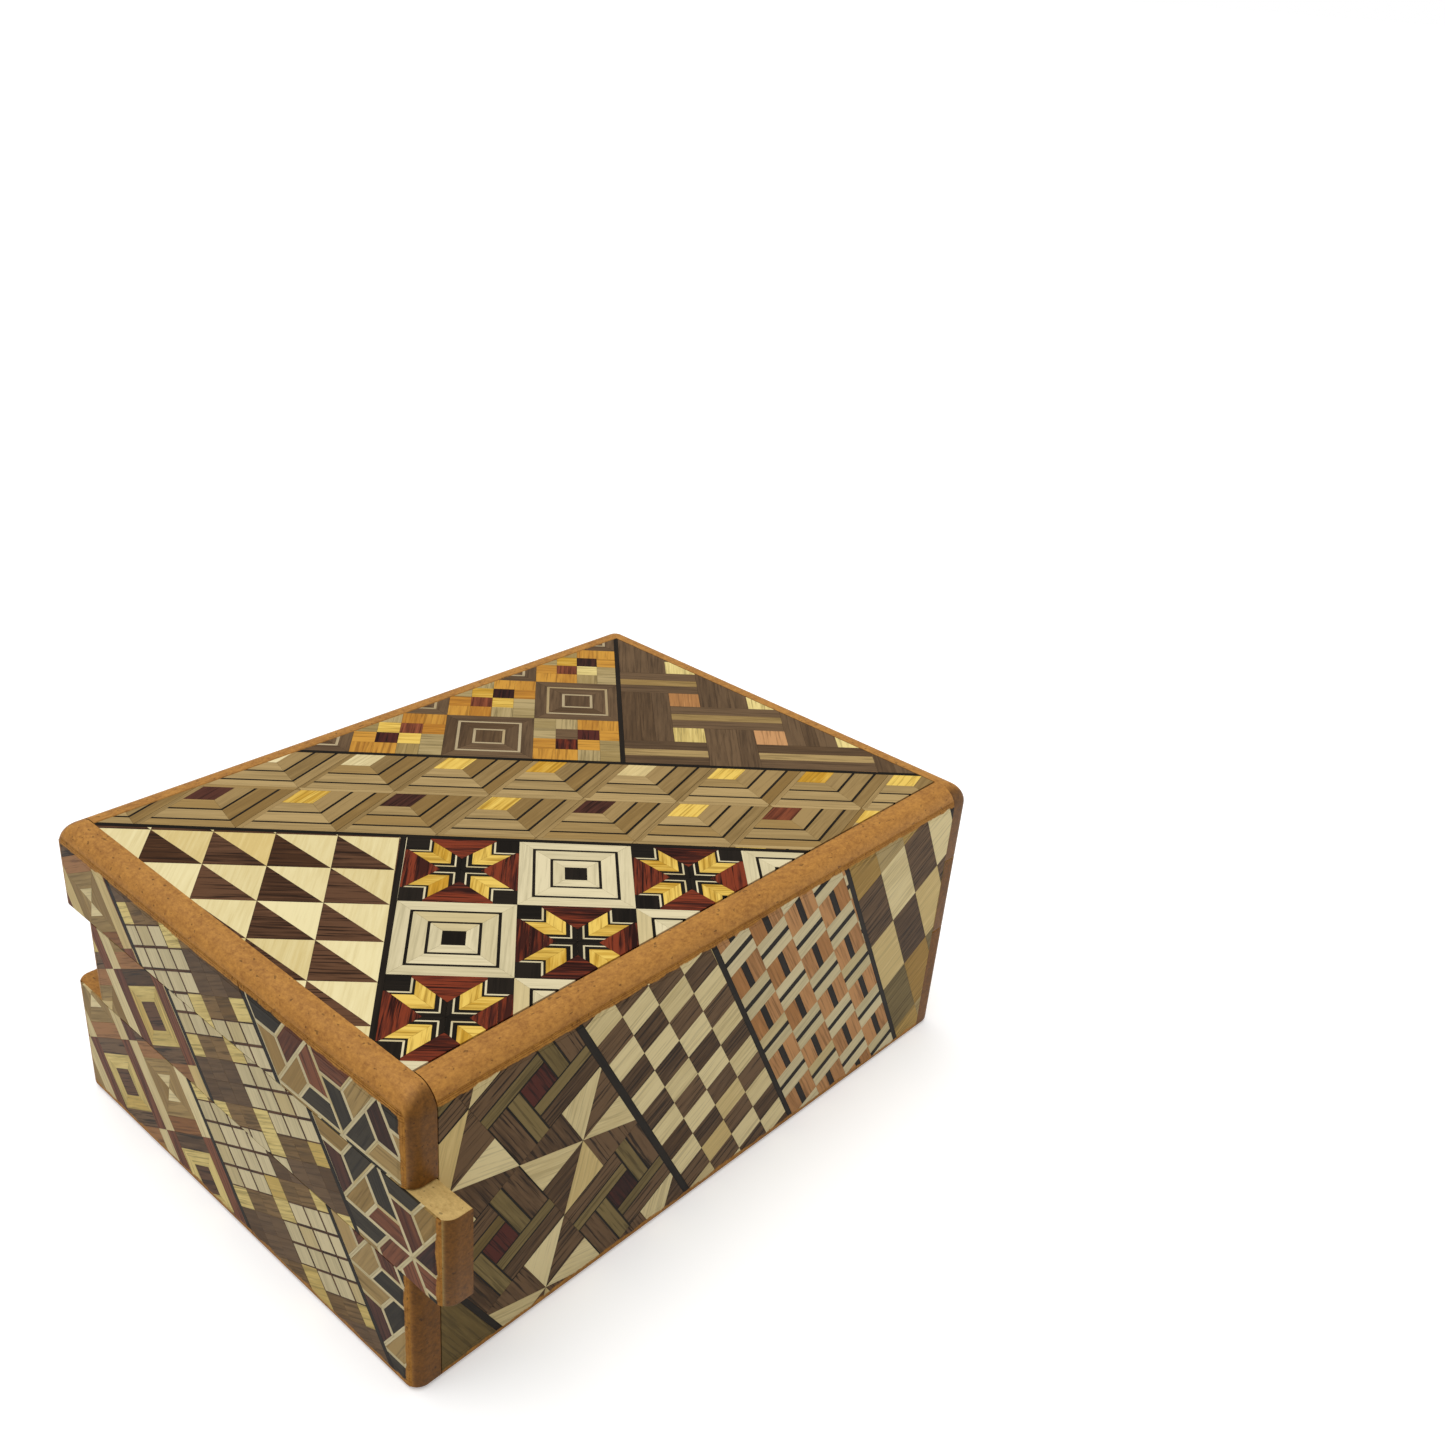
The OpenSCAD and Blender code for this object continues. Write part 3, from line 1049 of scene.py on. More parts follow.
def mill_field(reach: float = 10.66) -> Cutting:
    """Nested dark squares and mills of four, in a diamond checker; the mills' hearts differ.

    Args:
        reach: Half diagonal of a cell.

    Returns:
        The tiling.
    """
    nested = diamond_rings((reach, 7.75, 7.05, 3.85, 3.15, 0), (Wood.TAUPE, Wood.GREY))
    places, i, j = Lattice((2 * reach, 0), (0, 2 * reach)).net()
    own = {(-1, 0): (Wood.RED, Wood.YELLOW, Wood.BURGUNDY, Wood.YELLOW),
           (1, 0): (Wood.PURPLE, Wood.YELLOW, Wood.RED, Wood.STRAW),
           (0, -1): (Wood.BURGUNDY, Wood.TAUPE, Wood.MAHOGANY, Wood.ORANGE)}
    rest = np.ones(len(places), dtype=bool)
    mills = []
    for (column, row), hearts in own.items():
        here = (i == column) & (j == row)
        rest &= ~here
        mills.append(mill_cell(reach, hearts).laid(places[here] + reach))
    usual = mill_cell(reach, (Wood.BURGUNDY, Wood.YELLOW, Wood.RED, Wood.YELLOW))
    return gather([nested.laid(places), *mills, usual.laid(places[rest] + reach)])


def weave_field(run: float = 10.0, opening: float = 5.45, core: float = 1.2) -> Cutting:
    """Three-ply strips woven over and under, with small squares in the openings.

    The strips run at 45 and at 135 degrees; each visible length spans one crossing and two openings.

    Args:
        run: Half the diagonal of the net of crossings.
        opening: Side of an opening.
        core: Half width of a strip's pale core.

    Returns:
        The tiling.
    """
    pitch = run * math.sqrt(2.0)
    wide, long = (pitch - opening) / 2, (pitch + opening) / 2
    heights = (-wide, -core, core, wide)
    strips = [level_strips(-long, long, heights, (Wood.TAUPE, pale, Wood.TAUPE)).turned(turn)
              for pale, turn in ((Wood.KHAKI, -45.0), (Wood.TAUPE, 45.0))]
    holes = [Cutting.of(square(opening / 2, wood)).turned(45.0) for wood in (Wood.STRAW, Wood.PINK)]
    net = Lattice((run, run), (run, -run))
    return gather([replace(net, origin=(run, 0)).checker(*strips), net.checker(*holes)])


def spiral_field(side: float = 17.3, heart: float = 4.7) -> Cutting:
    """Checker of squares wound in four strips and of pinwheels.

    Args:
        side: Side of a cell.
        heart: Side of the square inside a wound cell.

    Returns:
        The tiling, with a wound cell at its origin.
    """
    s, a = side / 2, heart / 2
    arm = level_strips(-s, a, (a, a + 0.28, a + 2.5, a + 2.8, s - 0.2, s),
                       (Wood.EBONY, Wood.OLIVE, Wood.EBONY, Wood.STREAKED, Wood.EBONY))
    wound = gather([Cutting.of(square(a, Wood.BURGUNDY, 90.0)), arm.round()])
    vane = ([(0, 0), (s, s), (0, s)], Wood.CREAM, 45.0), ([(0, 0), (0, s), (-s, s)], Wood.STREAKED, 90.0)
    return Lattice((side, 0), (0, side)).checker(wound, Cutting.of(*vane).round())


def check_field(wide: float = 5.45, tall: float = 5.22) -> Cutting:
    """Plain checker of pale and dark cells, with a pale cell centred on the origin.

    Args:
        wide: Width of a cell.
        tall: Height of a cell.

    Returns:
        The tiling.
    """
    pale, dark = (Cutting.of(block((-wide / 2, -tall / 2), (wide / 2, tall / 2), wood))
                  for wood in (Wood.CREAM, Wood.STREAKED))
    return Lattice((wide, tall), (wide, -tall)).paired(pale, dark, wide, 0.0)


def barred_field(side: float = 6.35, bar: float = 0.58) -> Cutting:
    """Checker of cells with a dark bar through them: across the pale ones and up the pink ones.

    Args:
        side: Side of a cell.
        bar: Half width of a bar.

    Returns:
        The tiling.
    """
    h = side / 2
    level, upright = (level_strips(-h, h, (-h, -bar, bar, h), (wood, Wood.EBONY, wood))
                      for wood in (Wood.HOLLY, Wood.PINK))
    return Lattice((side, side), (side, -side)).paired(level, upright.turned(90.0), side, 0.0)


def brick_field(wide: float = 5.94, tall: float = 13.4) -> Cutting:
    """Rows of upright bricks that change woods from row to row; the origin is a corner.

    Args:
        wide: Width of a brick.
        tall: Height of a brick.

    Returns:
        The tiling.
    """
    rows = ((Wood.CREAM, Wood.STREAKED), (Wood.STREAKED, Wood.CREAM),
            (Wood.GOLD, Wood.SAGE), (Wood.OLIVE, Wood.GOLD))
    places, i, j = Lattice((wide, 0), (0, tall)).net()
    return gather([Cutting.of(block((0, 0), (wide, tall), wood)).laid(places[(j == row) & (i % 2 == column)])
                   for row in range(-3, 5) for column, wood in enumerate(rows[(row + 1) % 4])])


def frame_field(wide: float = 16.0, tall: float = 15.7) -> Cutting:
    """Checker of yellow frames on brown and of hourglass squares between cream and orange strips.

    Args:
        wide: Width of a cell.
        tall: Height of a cell.

    Returns:
        The tiling.
    """
    w, t, middle, core, waist = wide / 2, tall / 2, 5.0, 2.4, 2.3

    def edged(upright: Wood, level: Wood) -> list[Part]:
        """Return the strips round the square at a cell's middle."""
        return [block((-w, -t), (-middle, t), upright, 90.0), block((middle, -t), (w, t), upright, 90.0),
                block((-middle, -t), (middle, -middle), level), block((-middle, middle), (middle, t), level)]

    framed = Cutting.of(*edged(Wood.MAROON, Wood.STREAKED),
                        *mitred(middle, core, dict.fromkeys(range(4), Wood.STRAW)), square(core, Wood.WALNUT))
    glass = Cutting.of(*edged(Wood.CREAM, Wood.RUSSET),
                       *mitred(middle, waist, {0: Wood.KHAKI, 2: Wood.KHAKI, 1: Wood.UMBER, 3: Wood.UMBER}),
                       *mitred(waist, 0, {0: Wood.CREAM, 2: Wood.CREAM, 1: Wood.KHAKI, 3: Wood.KHAKI}))
    return Lattice((wide, 0), (0, tall)).checker(framed, glass)


def window_field(wide: float = 4.1, tall: float = 3.55, bar: float = 0.22) -> Cutting:
    """Blocks of brown and yellow between cream window lattices; the origin is a row's left end.

    Args:
        wide: Width of one of the seven columns.
        tall: Height of a row; rows go down and repeat after eight.
        bar: Half width of a window's bars.

    Returns:
        The tiling.
    """
    rows = ("YooYSSS", "SSSYooY", "SSSSbbb", "SSSSbbb", "SSSYooY", "YooYSSS", "bbbSSSS", "bbbSSSS")
    h = tall / 2
    cells = {key: Cutting.of(block((0, -h), (wide, h), wood))
             for key, wood in (("Y", Wood.STRAW), ("o", Wood.SEPIA), ("b", Wood.TAUPE))}
    cells["S"] = Cutting.of(block((bar, bar - h), (wide - bar, h - bar), Wood.HOLLY, 90.0),
                            block((0, -h), (bar, h), Wood.WALNUT, 90.0),
                            block((wide - bar, -h), (wide, h), Wood.WALNUT, 90.0),
                            block((bar, -h), (wide - bar, bar - h), Wood.WALNUT),
                            block((bar, h - bar), (wide - bar, h), Wood.WALNUT))
    parts = []
    for number, row in enumerate(rows):
        down = -(np.arange(-4, 5) * len(rows) + number) * tall
        for column, key in enumerate(row):
            parts.append(cells[key].laid(np.stack([np.full(len(down), column * wide), down], axis=-1)))
    return gather(parts)


def framed_piece(corners: Sequence[Array], line: float, edge: Wood, inner: Wood,
                 grain: float) -> list[Part]:
    """Return a piece with a thin line round it: the outline drawn in by the line's width, and strips between.

    Each inner corner is the outer one moved by the width along both of its edges' inward normals.

    Args:
        corners: The outline.
        line: Width of the line.
        edge: Wood of the line.
        inner: Wood of the piece.
        grain: Angle of the piece's grain in degrees.

    Returns:
        The piece, then the strips.
    """
    outer = np.array(corners, dtype=float)
    edges = np.roll(outer, -1, axis=0) - outer
    if np.cross(edges[0], edges[1]) < 0:
        outer = outer[::-1]
        edges = np.roll(outer, -1, axis=0) - outer
    inward = np.stack([-edges[:, 1], edges[:, 0]], axis=-1) / np.linalg.norm(edges, axis=1, keepdims=True)
    last = np.roll(inward, 1, axis=0)
    drawn = outer + (inward + last) / (1 + (inward * last).sum(axis=1, keepdims=True)) * line
    strips = zip(outer, np.roll(outer, -1, axis=0), np.roll(drawn, -1, axis=0), drawn)
    return [(drawn, inner, grain)] + [(strip, edge, math.degrees(math.atan2(y, x)))
                                      for strip, (x, y) in zip(strips, edges)]


ARROW_WOODS = {
    (0, 1): ((Wood.TAN, Wood.MAROON, Wood.NAVY), (Wood.TAN, Wood.NAVY, Wood.MAROON)),
    (1, 1): ((Wood.NAVY, Wood.PURPLE, Wood.KHAKI), (Wood.NAVY, Wood.MAROON, Wood.KHAKI)),
    (0, 0): ((Wood.KHAKI, Wood.NAVY, Wood.MAROON), (Wood.PURPLE, Wood.KHAKI, Wood.NAVY)),
    (1, 0): ((Wood.PURPLE, Wood.KHAKI, Wood.NAVY), (Wood.MAROON, Wood.NAVY, Wood.KHAKI))}


def arrow_field(side: float = 13.3, line: float = 0.31) -> Cutting:
    """Triangles of three equal trapezoids that turn about the middle, with pale lines round each.

    A trapezoid has a corner of the triangle, the point two thirds along the next side, the middle, and
    the point a third back along the side before, going round clockwise.

    Args:
        side: Side of a triangle.
        line: Width of the pale lines.

    Returns:
        The tiling.
    """
    h = side * math.sqrt(3) / 2
    triangles = np.array([[(0.0, 0.0), (side / 2, h), (side, 0.0)],
                          [(0.0, 0.0), (-side / 2, h), (side / 2, h)]])
    places, i, j = Lattice((side, 0), (-side / 2, h)).net()
    cells = []
    for (column, row), pair in ARROW_WOODS.items():
        parts = []
        for triangle, woods in zip(triangles, pair):
            for k, wood in enumerate(woods):
                a, b, before = np.roll(triangle, -k, axis=0)
                x, y = b - a
                outline = [a, a + (b - a) * 2 / 3, np.mean(triangle, axis=0), a + (before - a) / 3]
                parts += framed_piece(outline, line, Wood.HOLLY, wood, math.degrees(math.atan2(y, x)))
        cells.append(Cutting.of(*parts).laid(places[(i % 2 == column) & (j % 2 == row)]))
    return gather(cells)


# ---- Designs: fields laid side by side between dark lines ----


@dataclass(frozen=True)
class Line:
    """A straight strip of dark wood: its normal direction in degrees, its place along it and its width."""

    angle: float
    place: float
    width: float = 0.85

    def strip(self) -> Cutting:
        """Return the line itself as a long piece."""
        return sheet_of(Wood.EBONY, self.angle + 90).between(
            tuple(direction(self.angle)), self.place - self.width / 2, self.place + self.width / 2)

    def below(self, cutting: Cutting) -> Cutting:
        """Keep what lies on the line's low side."""
        return cutting.kept(tuple(direction(self.angle)), self.place - self.width / 2)

    def above(self, cutting: Cutting) -> Cutting:
        """Keep what lies on the line's high side."""
        return cutting.kept(tuple(-direction(self.angle)), -self.place - self.width / 2)


def banded(lines: Sequence[Line], bands: Sequence[Cutting]) -> Cutting:
    """Lay bands side by side with a line between each and the next.

    Args:
        lines: The lines, from the low side up.
        bands: The bands likewise, one more than the lines.

    Returns:
        The lines, then the bands.
    """
    parts = [line.strip() for line in lines]
    for number, band in enumerate(bands):
        part = band if number == 0 else lines[number - 1].above(band)
        parts.append(part if number == len(lines) else lines[number].below(part))
    return gather(parts)


def lid_design() -> Cutting:
    """Parquetry of the lid: five fields between four lines at about 45 degrees.

    Returns:
        The fields, then the lines.
    """
    left, right, upper, lower = Line(44.9, -12.34), Line(45.4, 13.75), Line(137.6, 20.6), Line(136.6, -13.76)
    teeth = sawtooth_field().at(-49.1, 25.1, 0.0, (-0.0241, -0.0422, -0.975), (0.0222, 0.0181, 0.295))
    stars = star_field().at(-21.8, -7.75, 0.0, (0.0028, -0.0114, -0.772), (0.0337, 0.0393, 1.293))
    steps = step_field().at(-28.0, 13.3, 0.0, (-0.0054, -0.0346, -1.364), (0.0168, 0.0284, 0.076))
    mills = mill_field().at(10.65, 21.8, 0.0, (0.0010, -0.0265, -1.696), (0.0151, 0.0219, -0.135))
    weave = weave_field().at(37.2, -0.4, 0.0, (0.0002, -0.0396, -1.507), (0.0074, 0.0110, 0.329))
    return gather([
        left.below(upper.above(teeth)), left.below(upper.below(stars)), right.below(left.above(steps)),
        right.above(lower.above(mills)), right.above(lower.below(weave)),
        left.below(upper.strip()), right.above(lower.strip()), left.strip(), right.strip()])


def front_design() -> Cutting:
    """Parquetry of the front: bands that slant by about 30 degrees.

    Returns:
        The design.
    """
    return banded(
        [Line(31.4, -38.0, 1.0), Line(29.0, -5.26, 1.2), Line(28.0, 17.18, 1.0), Line(26.9, 44.14, 1.0),
         Line(27.0, 70.3, 1.0)],
        [sheet_of(Wood.OLIVE, 120.0),
         spiral_field().at(-38.675, 41.988, 30.0, (-0.0077, -0.0031, -0.540), (0.0162, -0.0002, 0.041)),
         check_field().at(-22.558, 37.321, 30.0, (0.0076, 0.0353, -1.244), (0.0067, -0.0048, -0.593)),
         barred_field().at(-0.239, 44.953, 30.0, (0.0286, 0.0488, -1.972), (-0.0166, -0.0008, -1.111)),
         brick_field().at(35.568, 29.195, 30.0, (0.0610, 0.0937, -4.586), (0.0094, 0.0285, -3.023)),
         sheet_of(Wood.UMBER, 120.0)])


def slant(across: float, down: float) -> Point:
    """Return the place that lies a distance across slanting bands and a distance down along them."""
    e, d = np.array([math.sqrt(3) / 2, 0.5]), np.array([0.5, -math.sqrt(3) / 2])
    return tuple(across * e + down * d)


def left_end_design() -> Cutting:
    """Parquetry of the left end: frames, window lattices and turning triangles in slanting bands.

    Returns:
        The design.
    """
    return banded(
        [Line(34.3, 4.1, 1.0), Line(33.3, 32.6, 1.0)],
        [frame_field().at(*slant(-6.5, -36.9), 30.0, (0.0202, -0.0499, 1.516), (0.0102, -0.0798, 1.998)),
         window_field().at(*slant(2.6, -49.9), 30.0, (0.0649, -0.0412, 1.110), (-0.0041, -0.0839, 2.014)),
         arrow_field().at(22.9, 25.9, 0.0, (0.0798, 0.0141, -2.897), (0.0040, -0.0469, 1.163))])


def right_end_design() -> Cutting:
    """Parquetry of the right end: triangles, stars and checks in slanting bands."""
    return banded([Line(150, -8.0, 1.0), Line(150, 22.0, 1.0)], [
        arrow_field().at(4.0, 3.0, 15.0), star_field().at(-8.0, 24.0), check_field().at(-36.0, 18.0, -30.0)])


def back_design() -> Cutting:
    """Parquetry of the back: bands that slant the other way.

    Returns:
        The design.
    """
    return banded([Line(150, place, 0.9) for place in (-46.0, -20.0, 6.0, 32.0)], [
        check_field().at(60.0, 4.0, -30.0), arrow_field().at(40.0, 8.0), step_field().at(10.0, 4.0, 105.0),
        frame_field().at(-12.0, 20.0, -30.0), barred_field().at(-42.0, 20.0, -30.0)])


def bottom_design() -> Cutting:
    """Parquetry of the bottom: three fields between two lines at 45 degrees.

    Returns:
        The fields, then the lines.
    """
    left, right = Line(45, -18.0), Line(45, 16.0)
    return gather([
        left.below(mill_field().at(-34.0, -4.0)), right.below(left.above(star_field().at(-1.4, 0.0))),
        right.above(spiral_field().at(30.0, 12.0, 45.0)), left.strip(), right.strip()])


# ---- Sheets and boards ----


@dataclass(frozen=True)
class VeneerSheet:
    """One veneer: the face that it lies on, its extents there, its design and what it rides on."""

    name: str
    body: str
    face: Face
    low: Point
    high: Point
    design: Callable[[], Cutting]
    slot: str
    seed: int
    rounded: bool = True
    round_ends: bool = False
    joint: float = 0.035
    bare_end: float = 40.7
    bare_top: float = 46.9
    bare_foot: float = 2.2
    low_cut: float = 1.6
    end_cuts: Sequence[float] = (0, 0.4, 0.8)
    top_cuts: Sequence[float] = (0, 0.5, 0.9, 1.2)
    foot_cuts: Sequence[float] = (0, 0.3, 0.55)
    corner_share: float = 0.7

    def depth(self, corners: Array) -> Array:
        """Depth of each place below the face: the sum of the roundings at the ends, the top and the foot.

        Args:
            corners: Places on the face.

        Returns:
            The depths.
        """
        u, v = np.abs(corners[..., 0]), corners[..., 1]
        if not self.rounded:
            return 0.0 * u
        edge = round_depth(v - BOX.flat_top, BOX.radius) + round_depth(BOX.foot_radius - v, BOX.foot_radius)
        return edge + round_depth(u - BOX.flat_end, BOX.corner_radius) if self.round_ends else edge

    def border(self, corners: Array) -> Array:
        """How far sanding has worn each place: 0 on the flat, 1 at the line where the veneer runs out.

        Args:
            corners: Places on the face.

        Returns:
            The wear, never below 0.
        """
        u, v = np.abs(corners[..., 0]), corners[..., 1]
        if not self.rounded:
            return 0.0 * u
        top_end = BOX.flat_top + BOX.feather(BOX.radius)
        foot_end = BOX.foot_radius - BOX.feather(BOX.foot_radius)
        worn = np.maximum((v - self.bare_top) / (top_end - self.bare_top),
                          (self.bare_foot - v) / (self.bare_foot - foot_end))
        if self.round_ends:
            side_end = BOX.flat_end + BOX.feather(BOX.corner_radius)
            worn = np.maximum(worn, (u - self.bare_end) / (side_end - self.bare_end))
        return np.maximum(worn, 0.0)

    def pieces(self) -> Cutting:
        """Cut the design to the sheet, and cut it again where it bends over a rounded edge or is worn.

        Returns:
            The pieces, with their joints drawn in.
        """
        cut = self.design().within(self.low, self.high).toned(self.seed)
        if not self.rounded:
            return cut.eased(self.joint)
        top, foot, end = (BOX.feather(r) for r in (BOX.radius, BOX.foot_radius, BOX.corner_radius))
        if self.round_ends:
            cut = cut.within((-BOX.flat_end - end, -1.0), (BOX.flat_end + end, BOX.height + 1.0))
            for place in (self.bare_end, *(BOX.flat_end + past for past in self.end_cuts)):
                cut = cut.split((1.0, 0.0), place).split((-1.0, 0.0), place)
            for x in (1, -1):
                cut = cut.kept((x, 1), BOX.flat_end + BOX.flat_top + self.corner_share * (end + top))
                cut = cut.kept((x, -1), BOX.flat_end - BOX.foot_radius + self.corner_share * (end + foot))
        cut = cut.within((-150, BOX.foot_radius - foot), (150, BOX.flat_top + top))
        for place in (self.bare_top, *(BOX.flat_top + past for past in self.top_cuts), self.bare_foot,
                      self.low_cut, *(BOX.foot_radius - past for past in self.foot_cuts)):
            cut = cut.split((0.0, 1.0), place)
        return cut.eased(self.joint)

    def build(self) -> None:
        """Make each piece a closed plate from the outer face down to the board, and dress it in its wood."""
        cut = self.pieces()
        real = cut.real()
        depth = np.minimum(self.depth(cut.corners), BOX.veneer - 0.01)
        outer = self.face.place(cut.corners, depth)[real]
        under = self.face.place(cut.corners, np.full_like(depth, BOX.veneer))[real]
        total = len(outer)
        first = np.concatenate([[0], np.cumsum(cut.count)[:-1]])
        used, place_of = np.unique(cut.wood, return_inverse=True)
        faces, slots = [], []
        for size in np.unique(cut.count):
            rows = np.flatnonzero(cut.count == size)
            ring = first[rows][:, None] + np.arange(size)
            after = np.roll(ring, -1, axis=1)
            walls = np.stack([ring + total, after + total, after, ring], axis=-1).reshape(-1, 4)
            faces += [ring, ring[:, ::-1] + total, walls]
            slots += [place_of[rows], place_of[rows], np.repeat(place_of[rows], size)]
        mesh = make_mesh(f"{self.name}_pieces", np.concatenate([outer, under]), faces)
        mesh.polygons.foreach_set("material_index", np.concatenate(slots).astype(np.int32))
        for name, kind, key, values in (
                ("grain", "FLOAT_VECTOR", "vector", np.repeat(self.face.along(cut.grain), cut.count, axis=0)),
                ("tone", "FLOAT", "value", np.repeat(cut.tone, cut.count)),
                ("border", "FLOAT", "value", self.border(cut.corners)[real])):
            both = np.concatenate([values, values]).astype(np.float32).ravel()
            mesh.attributes.new(name, kind, "POINT").data.foreach_set(key, both)
        LOG.info("%s: %d pieces of %d woods", self.name, len(cut.count), len(used))
        add_piece(mesh, [veneer_material(WOOD_ORDER[k]) for k in used], self.body, self.name)


@dataclass(frozen=True)
class EndStrip:
    """A slat or a key across one end, with its veneer: its heights and how far it is drawn to the front."""

    name: str
    body: str
    side: int
    z_low: float
    z_high: float
    seed: int
    inner: float = BOX.end_plane + BOX.gap
    slid: float = 0.0
    cuts: Blocks = ()
    finish: BoardFinish = SLAT_WOOD
    easing: float = 0.22
    arc_steps: int = 14
    round_steps: int = 12
    arc_loss: float = 0.75

    def rings(self) -> Array:
        """Outlines from the lower to the upper edge, each drawn in by the rounding at its height.

        At an angle t a rounding of radius r stands r sin t above its start and draws the outline in by
        r less r cos t; a plain edge is only eased.

        Returns:
            The outlines, one row each.
        """
        turn = np.radians(np.linspace(0, 90, self.round_steps))
        rise, draw, foot = np.sin(turn), 1.0 - np.cos(turn), BOX.foot_radius
        easing = [(self.easing * past, self.easing * drawn) for past, drawn in ((0, 1), (0.3, 0.3), (1, 0))]
        if self.z_low == 0:
            low = [(z, d, 0.0) for z, d in zip(foot * (1 - rise[::-1]), foot * draw[::-1])]
        else:
            low = [(self.z_low + past, drawn, drawn) for past, drawn in easing]
        if self.z_high == BOX.height:
            high = [(z, d, 0.0) for z, d in zip(BOX.flat_top + BOX.radius * rise, BOX.radius * draw)]
        else:
            high = [(self.z_high - past, drawn, drawn) for past, drawn in easing[::-1]]
        return np.stack([self.outline(z, draw_in, inner_in) for z, draw_in, inner_in in low + high])

    def outline(self, z: float, draw_in: float, inner_in: float) -> Array:
        """One closed outline at a height; its corner arcs shrink as the outer faces are drawn in.

        Args:
            z: The height.
            draw_in: How far the outer faces are drawn in.
            inner_in: How far the inner face is drawn out.

        Returns:
            Points (x, y, z).
        """
        r = BOX.corner_radius * (1.0 - self.arc_loss * draw_in / BOX.radius)
        angles = np.radians(np.linspace(0, 90, self.arc_steps))
        upper = np.stack([BOX.length / 2 - draw_in - r + r * np.cos(angles),
                          BOX.width / 2 - draw_in - r + r * np.sin(angles)], axis=-1)
        inner, edge = self.inner + inner_in, BOX.width / 2 - draw_in
        flat = np.concatenate([[[inner, -edge]], upper[::-1] * np.array([1.0, -1.0]), upper, [[inner, edge]]])
        flat[:, 0] = np.minimum(flat[:, 0], BOX.length / 2 - BOX.veneer)
        return np.column_stack([flat[:, 0] * self.side, flat[:, 1] - self.slid, np.full(len(flat), z)])

    def lay_board(self) -> None:
        """Loft the slat, cut its grooves and dress it."""
        mesh = loft(f"{self.name}_slat_wood", self.rings())
        if self.cuts:
            mesh = cut_away(mesh, self.cuts)
        add_piece(soften(mesh), [board_material(self.finish)], self.body, f"{self.name}_slat")

    def lay_veneer(self) -> None:
        """Lay the veneer on the slat."""
        face, design = (LEFT, left_end_design) if self.side < 0 else (RIGHT, right_end_design)
        face, half = replace(face, origin=(face.origin[0], -self.slid, 0)), BOX.width / 2
        VeneerSheet(f"{self.name}_veneer", self.body, face, (-half, self.z_low), (half, self.z_high), design,
                    "end_marquetry", self.seed, round_ends=True).build()


@dataclass(frozen=True)
class SideBoard:
    """The front or the back board, a profile of its section carried along the box, and its veneer."""

    name: str
    side: int
    face: Face
    design: Callable[[], Cutting]
    seed: int
    groove_depth: float = 1.5
    easing: float = 0.18
    arc_steps: int = 14
    end_band: float = 0.5

    def profile(self) -> Array:
        """Section of the back board, anticlockwise, with quarter rounds at its outer corners.

        Returns:
            Points (y, z).
        """
        r, foot, h, half = BOX.radius, BOX.foot_radius, BOX.height, BOX.width / 2
        angles = np.radians(np.linspace(0, 90, self.arc_steps))
        upper = np.stack([half - r + r * np.cos(angles), h - r + r * np.sin(angles)], axis=-1)
        lower = np.stack([half - foot + foot * np.sin(angles), foot - foot * np.cos(angles)], axis=-1)
        inner, deep, e = BOX.side_plane, BOX.side_plane + self.groove_depth, self.easing
        (a, b), (c, d) = BOX.lid_groove, BOX.bottom_groove
        inside = [(inner + e, h), (inner, h - e), (inner, b), (deep, b), (deep, a), (inner, a),
                  (inner, d), (deep, d), (deep, c), (inner, c), (inner, e), (inner + e, 0)]
        points = np.concatenate([lower, upper, np.array(inside)])
        points[:, 0] = np.minimum(points[:, 0], half - BOX.veneer)
        return points

    def lay_board(self) -> None:
        """Carry the profile along the box and dress the board."""
        section, end, band = self.profile(), BOX.end_plane, self.end_band
        flat = np.column_stack([np.zeros(len(section)), section[:, 0] * self.side, section[:, 1]])
        rings = [flat + np.array([x, 0, 0]) for x in (-end, -end + band, end - band, end)]
        mesh = soften(loft(f"{self.name}_side_board_wood", np.stack(rings)))
        add_piece(mesh, [board_material(SIDE_WOOD)], "carcass", f"{self.name}_side_board")

    def lay_veneer(self) -> None:
        """Lay the veneer on the board."""
        low, high = (-BOX.end_plane, 0), (BOX.end_plane, BOX.height)
        VeneerSheet(f"{self.name}_veneer", "carcass", self.face, low, high, self.design,
                    f"{self.name}_marquetry", self.seed).build()


def lay(*parts: SideBoard | EndStrip) -> None:
    """Lay boards, then their veneers.

    Args:
        parts: The boards.
    """
    for part in parts:
        part.lay_board()
    for part in parts:
        part.lay_veneer()


def lug_grooves() -> Blocks:
    """Work out where the left key's lugs run, and the notches that free them when the key is out.

    Returns:
        Lowest and highest corner of each block that is cut away.
    """
    outside, thick, half, reach, inset, notch_end = -58.45, 1.5, 3.0, 1.8, 25.1, -54.5
    gap, blocks = BOX.gap, []
    low, high = BOX.key_bottom - reach - gap, BOX.key_top + reach + gap
    for y in (-inset, inset):
        corner = (outside - gap, y - BOX.key_travel - half - gap, low)
        blocks += [(corner, (outside + thick + gap, y + half + gap, high)),
                   (corner, (notch_end, y - BOX.key_travel + half + gap, high))]
    return tuple(blocks)


def dress_nodes(plain: dict[str, BoardFinish]) -> None:
    """Give the CAD nodes that keep their shape their wood.

    Args:
        plain: Finish of each node.
    """
    for name, finish in plain.items():
        node = bpy.data.objects[name]
        node.data.materials.clear()
        node.data.materials.append(board_material(finish))
        LOG.info("%s: dressed in %s", name, finish.name)


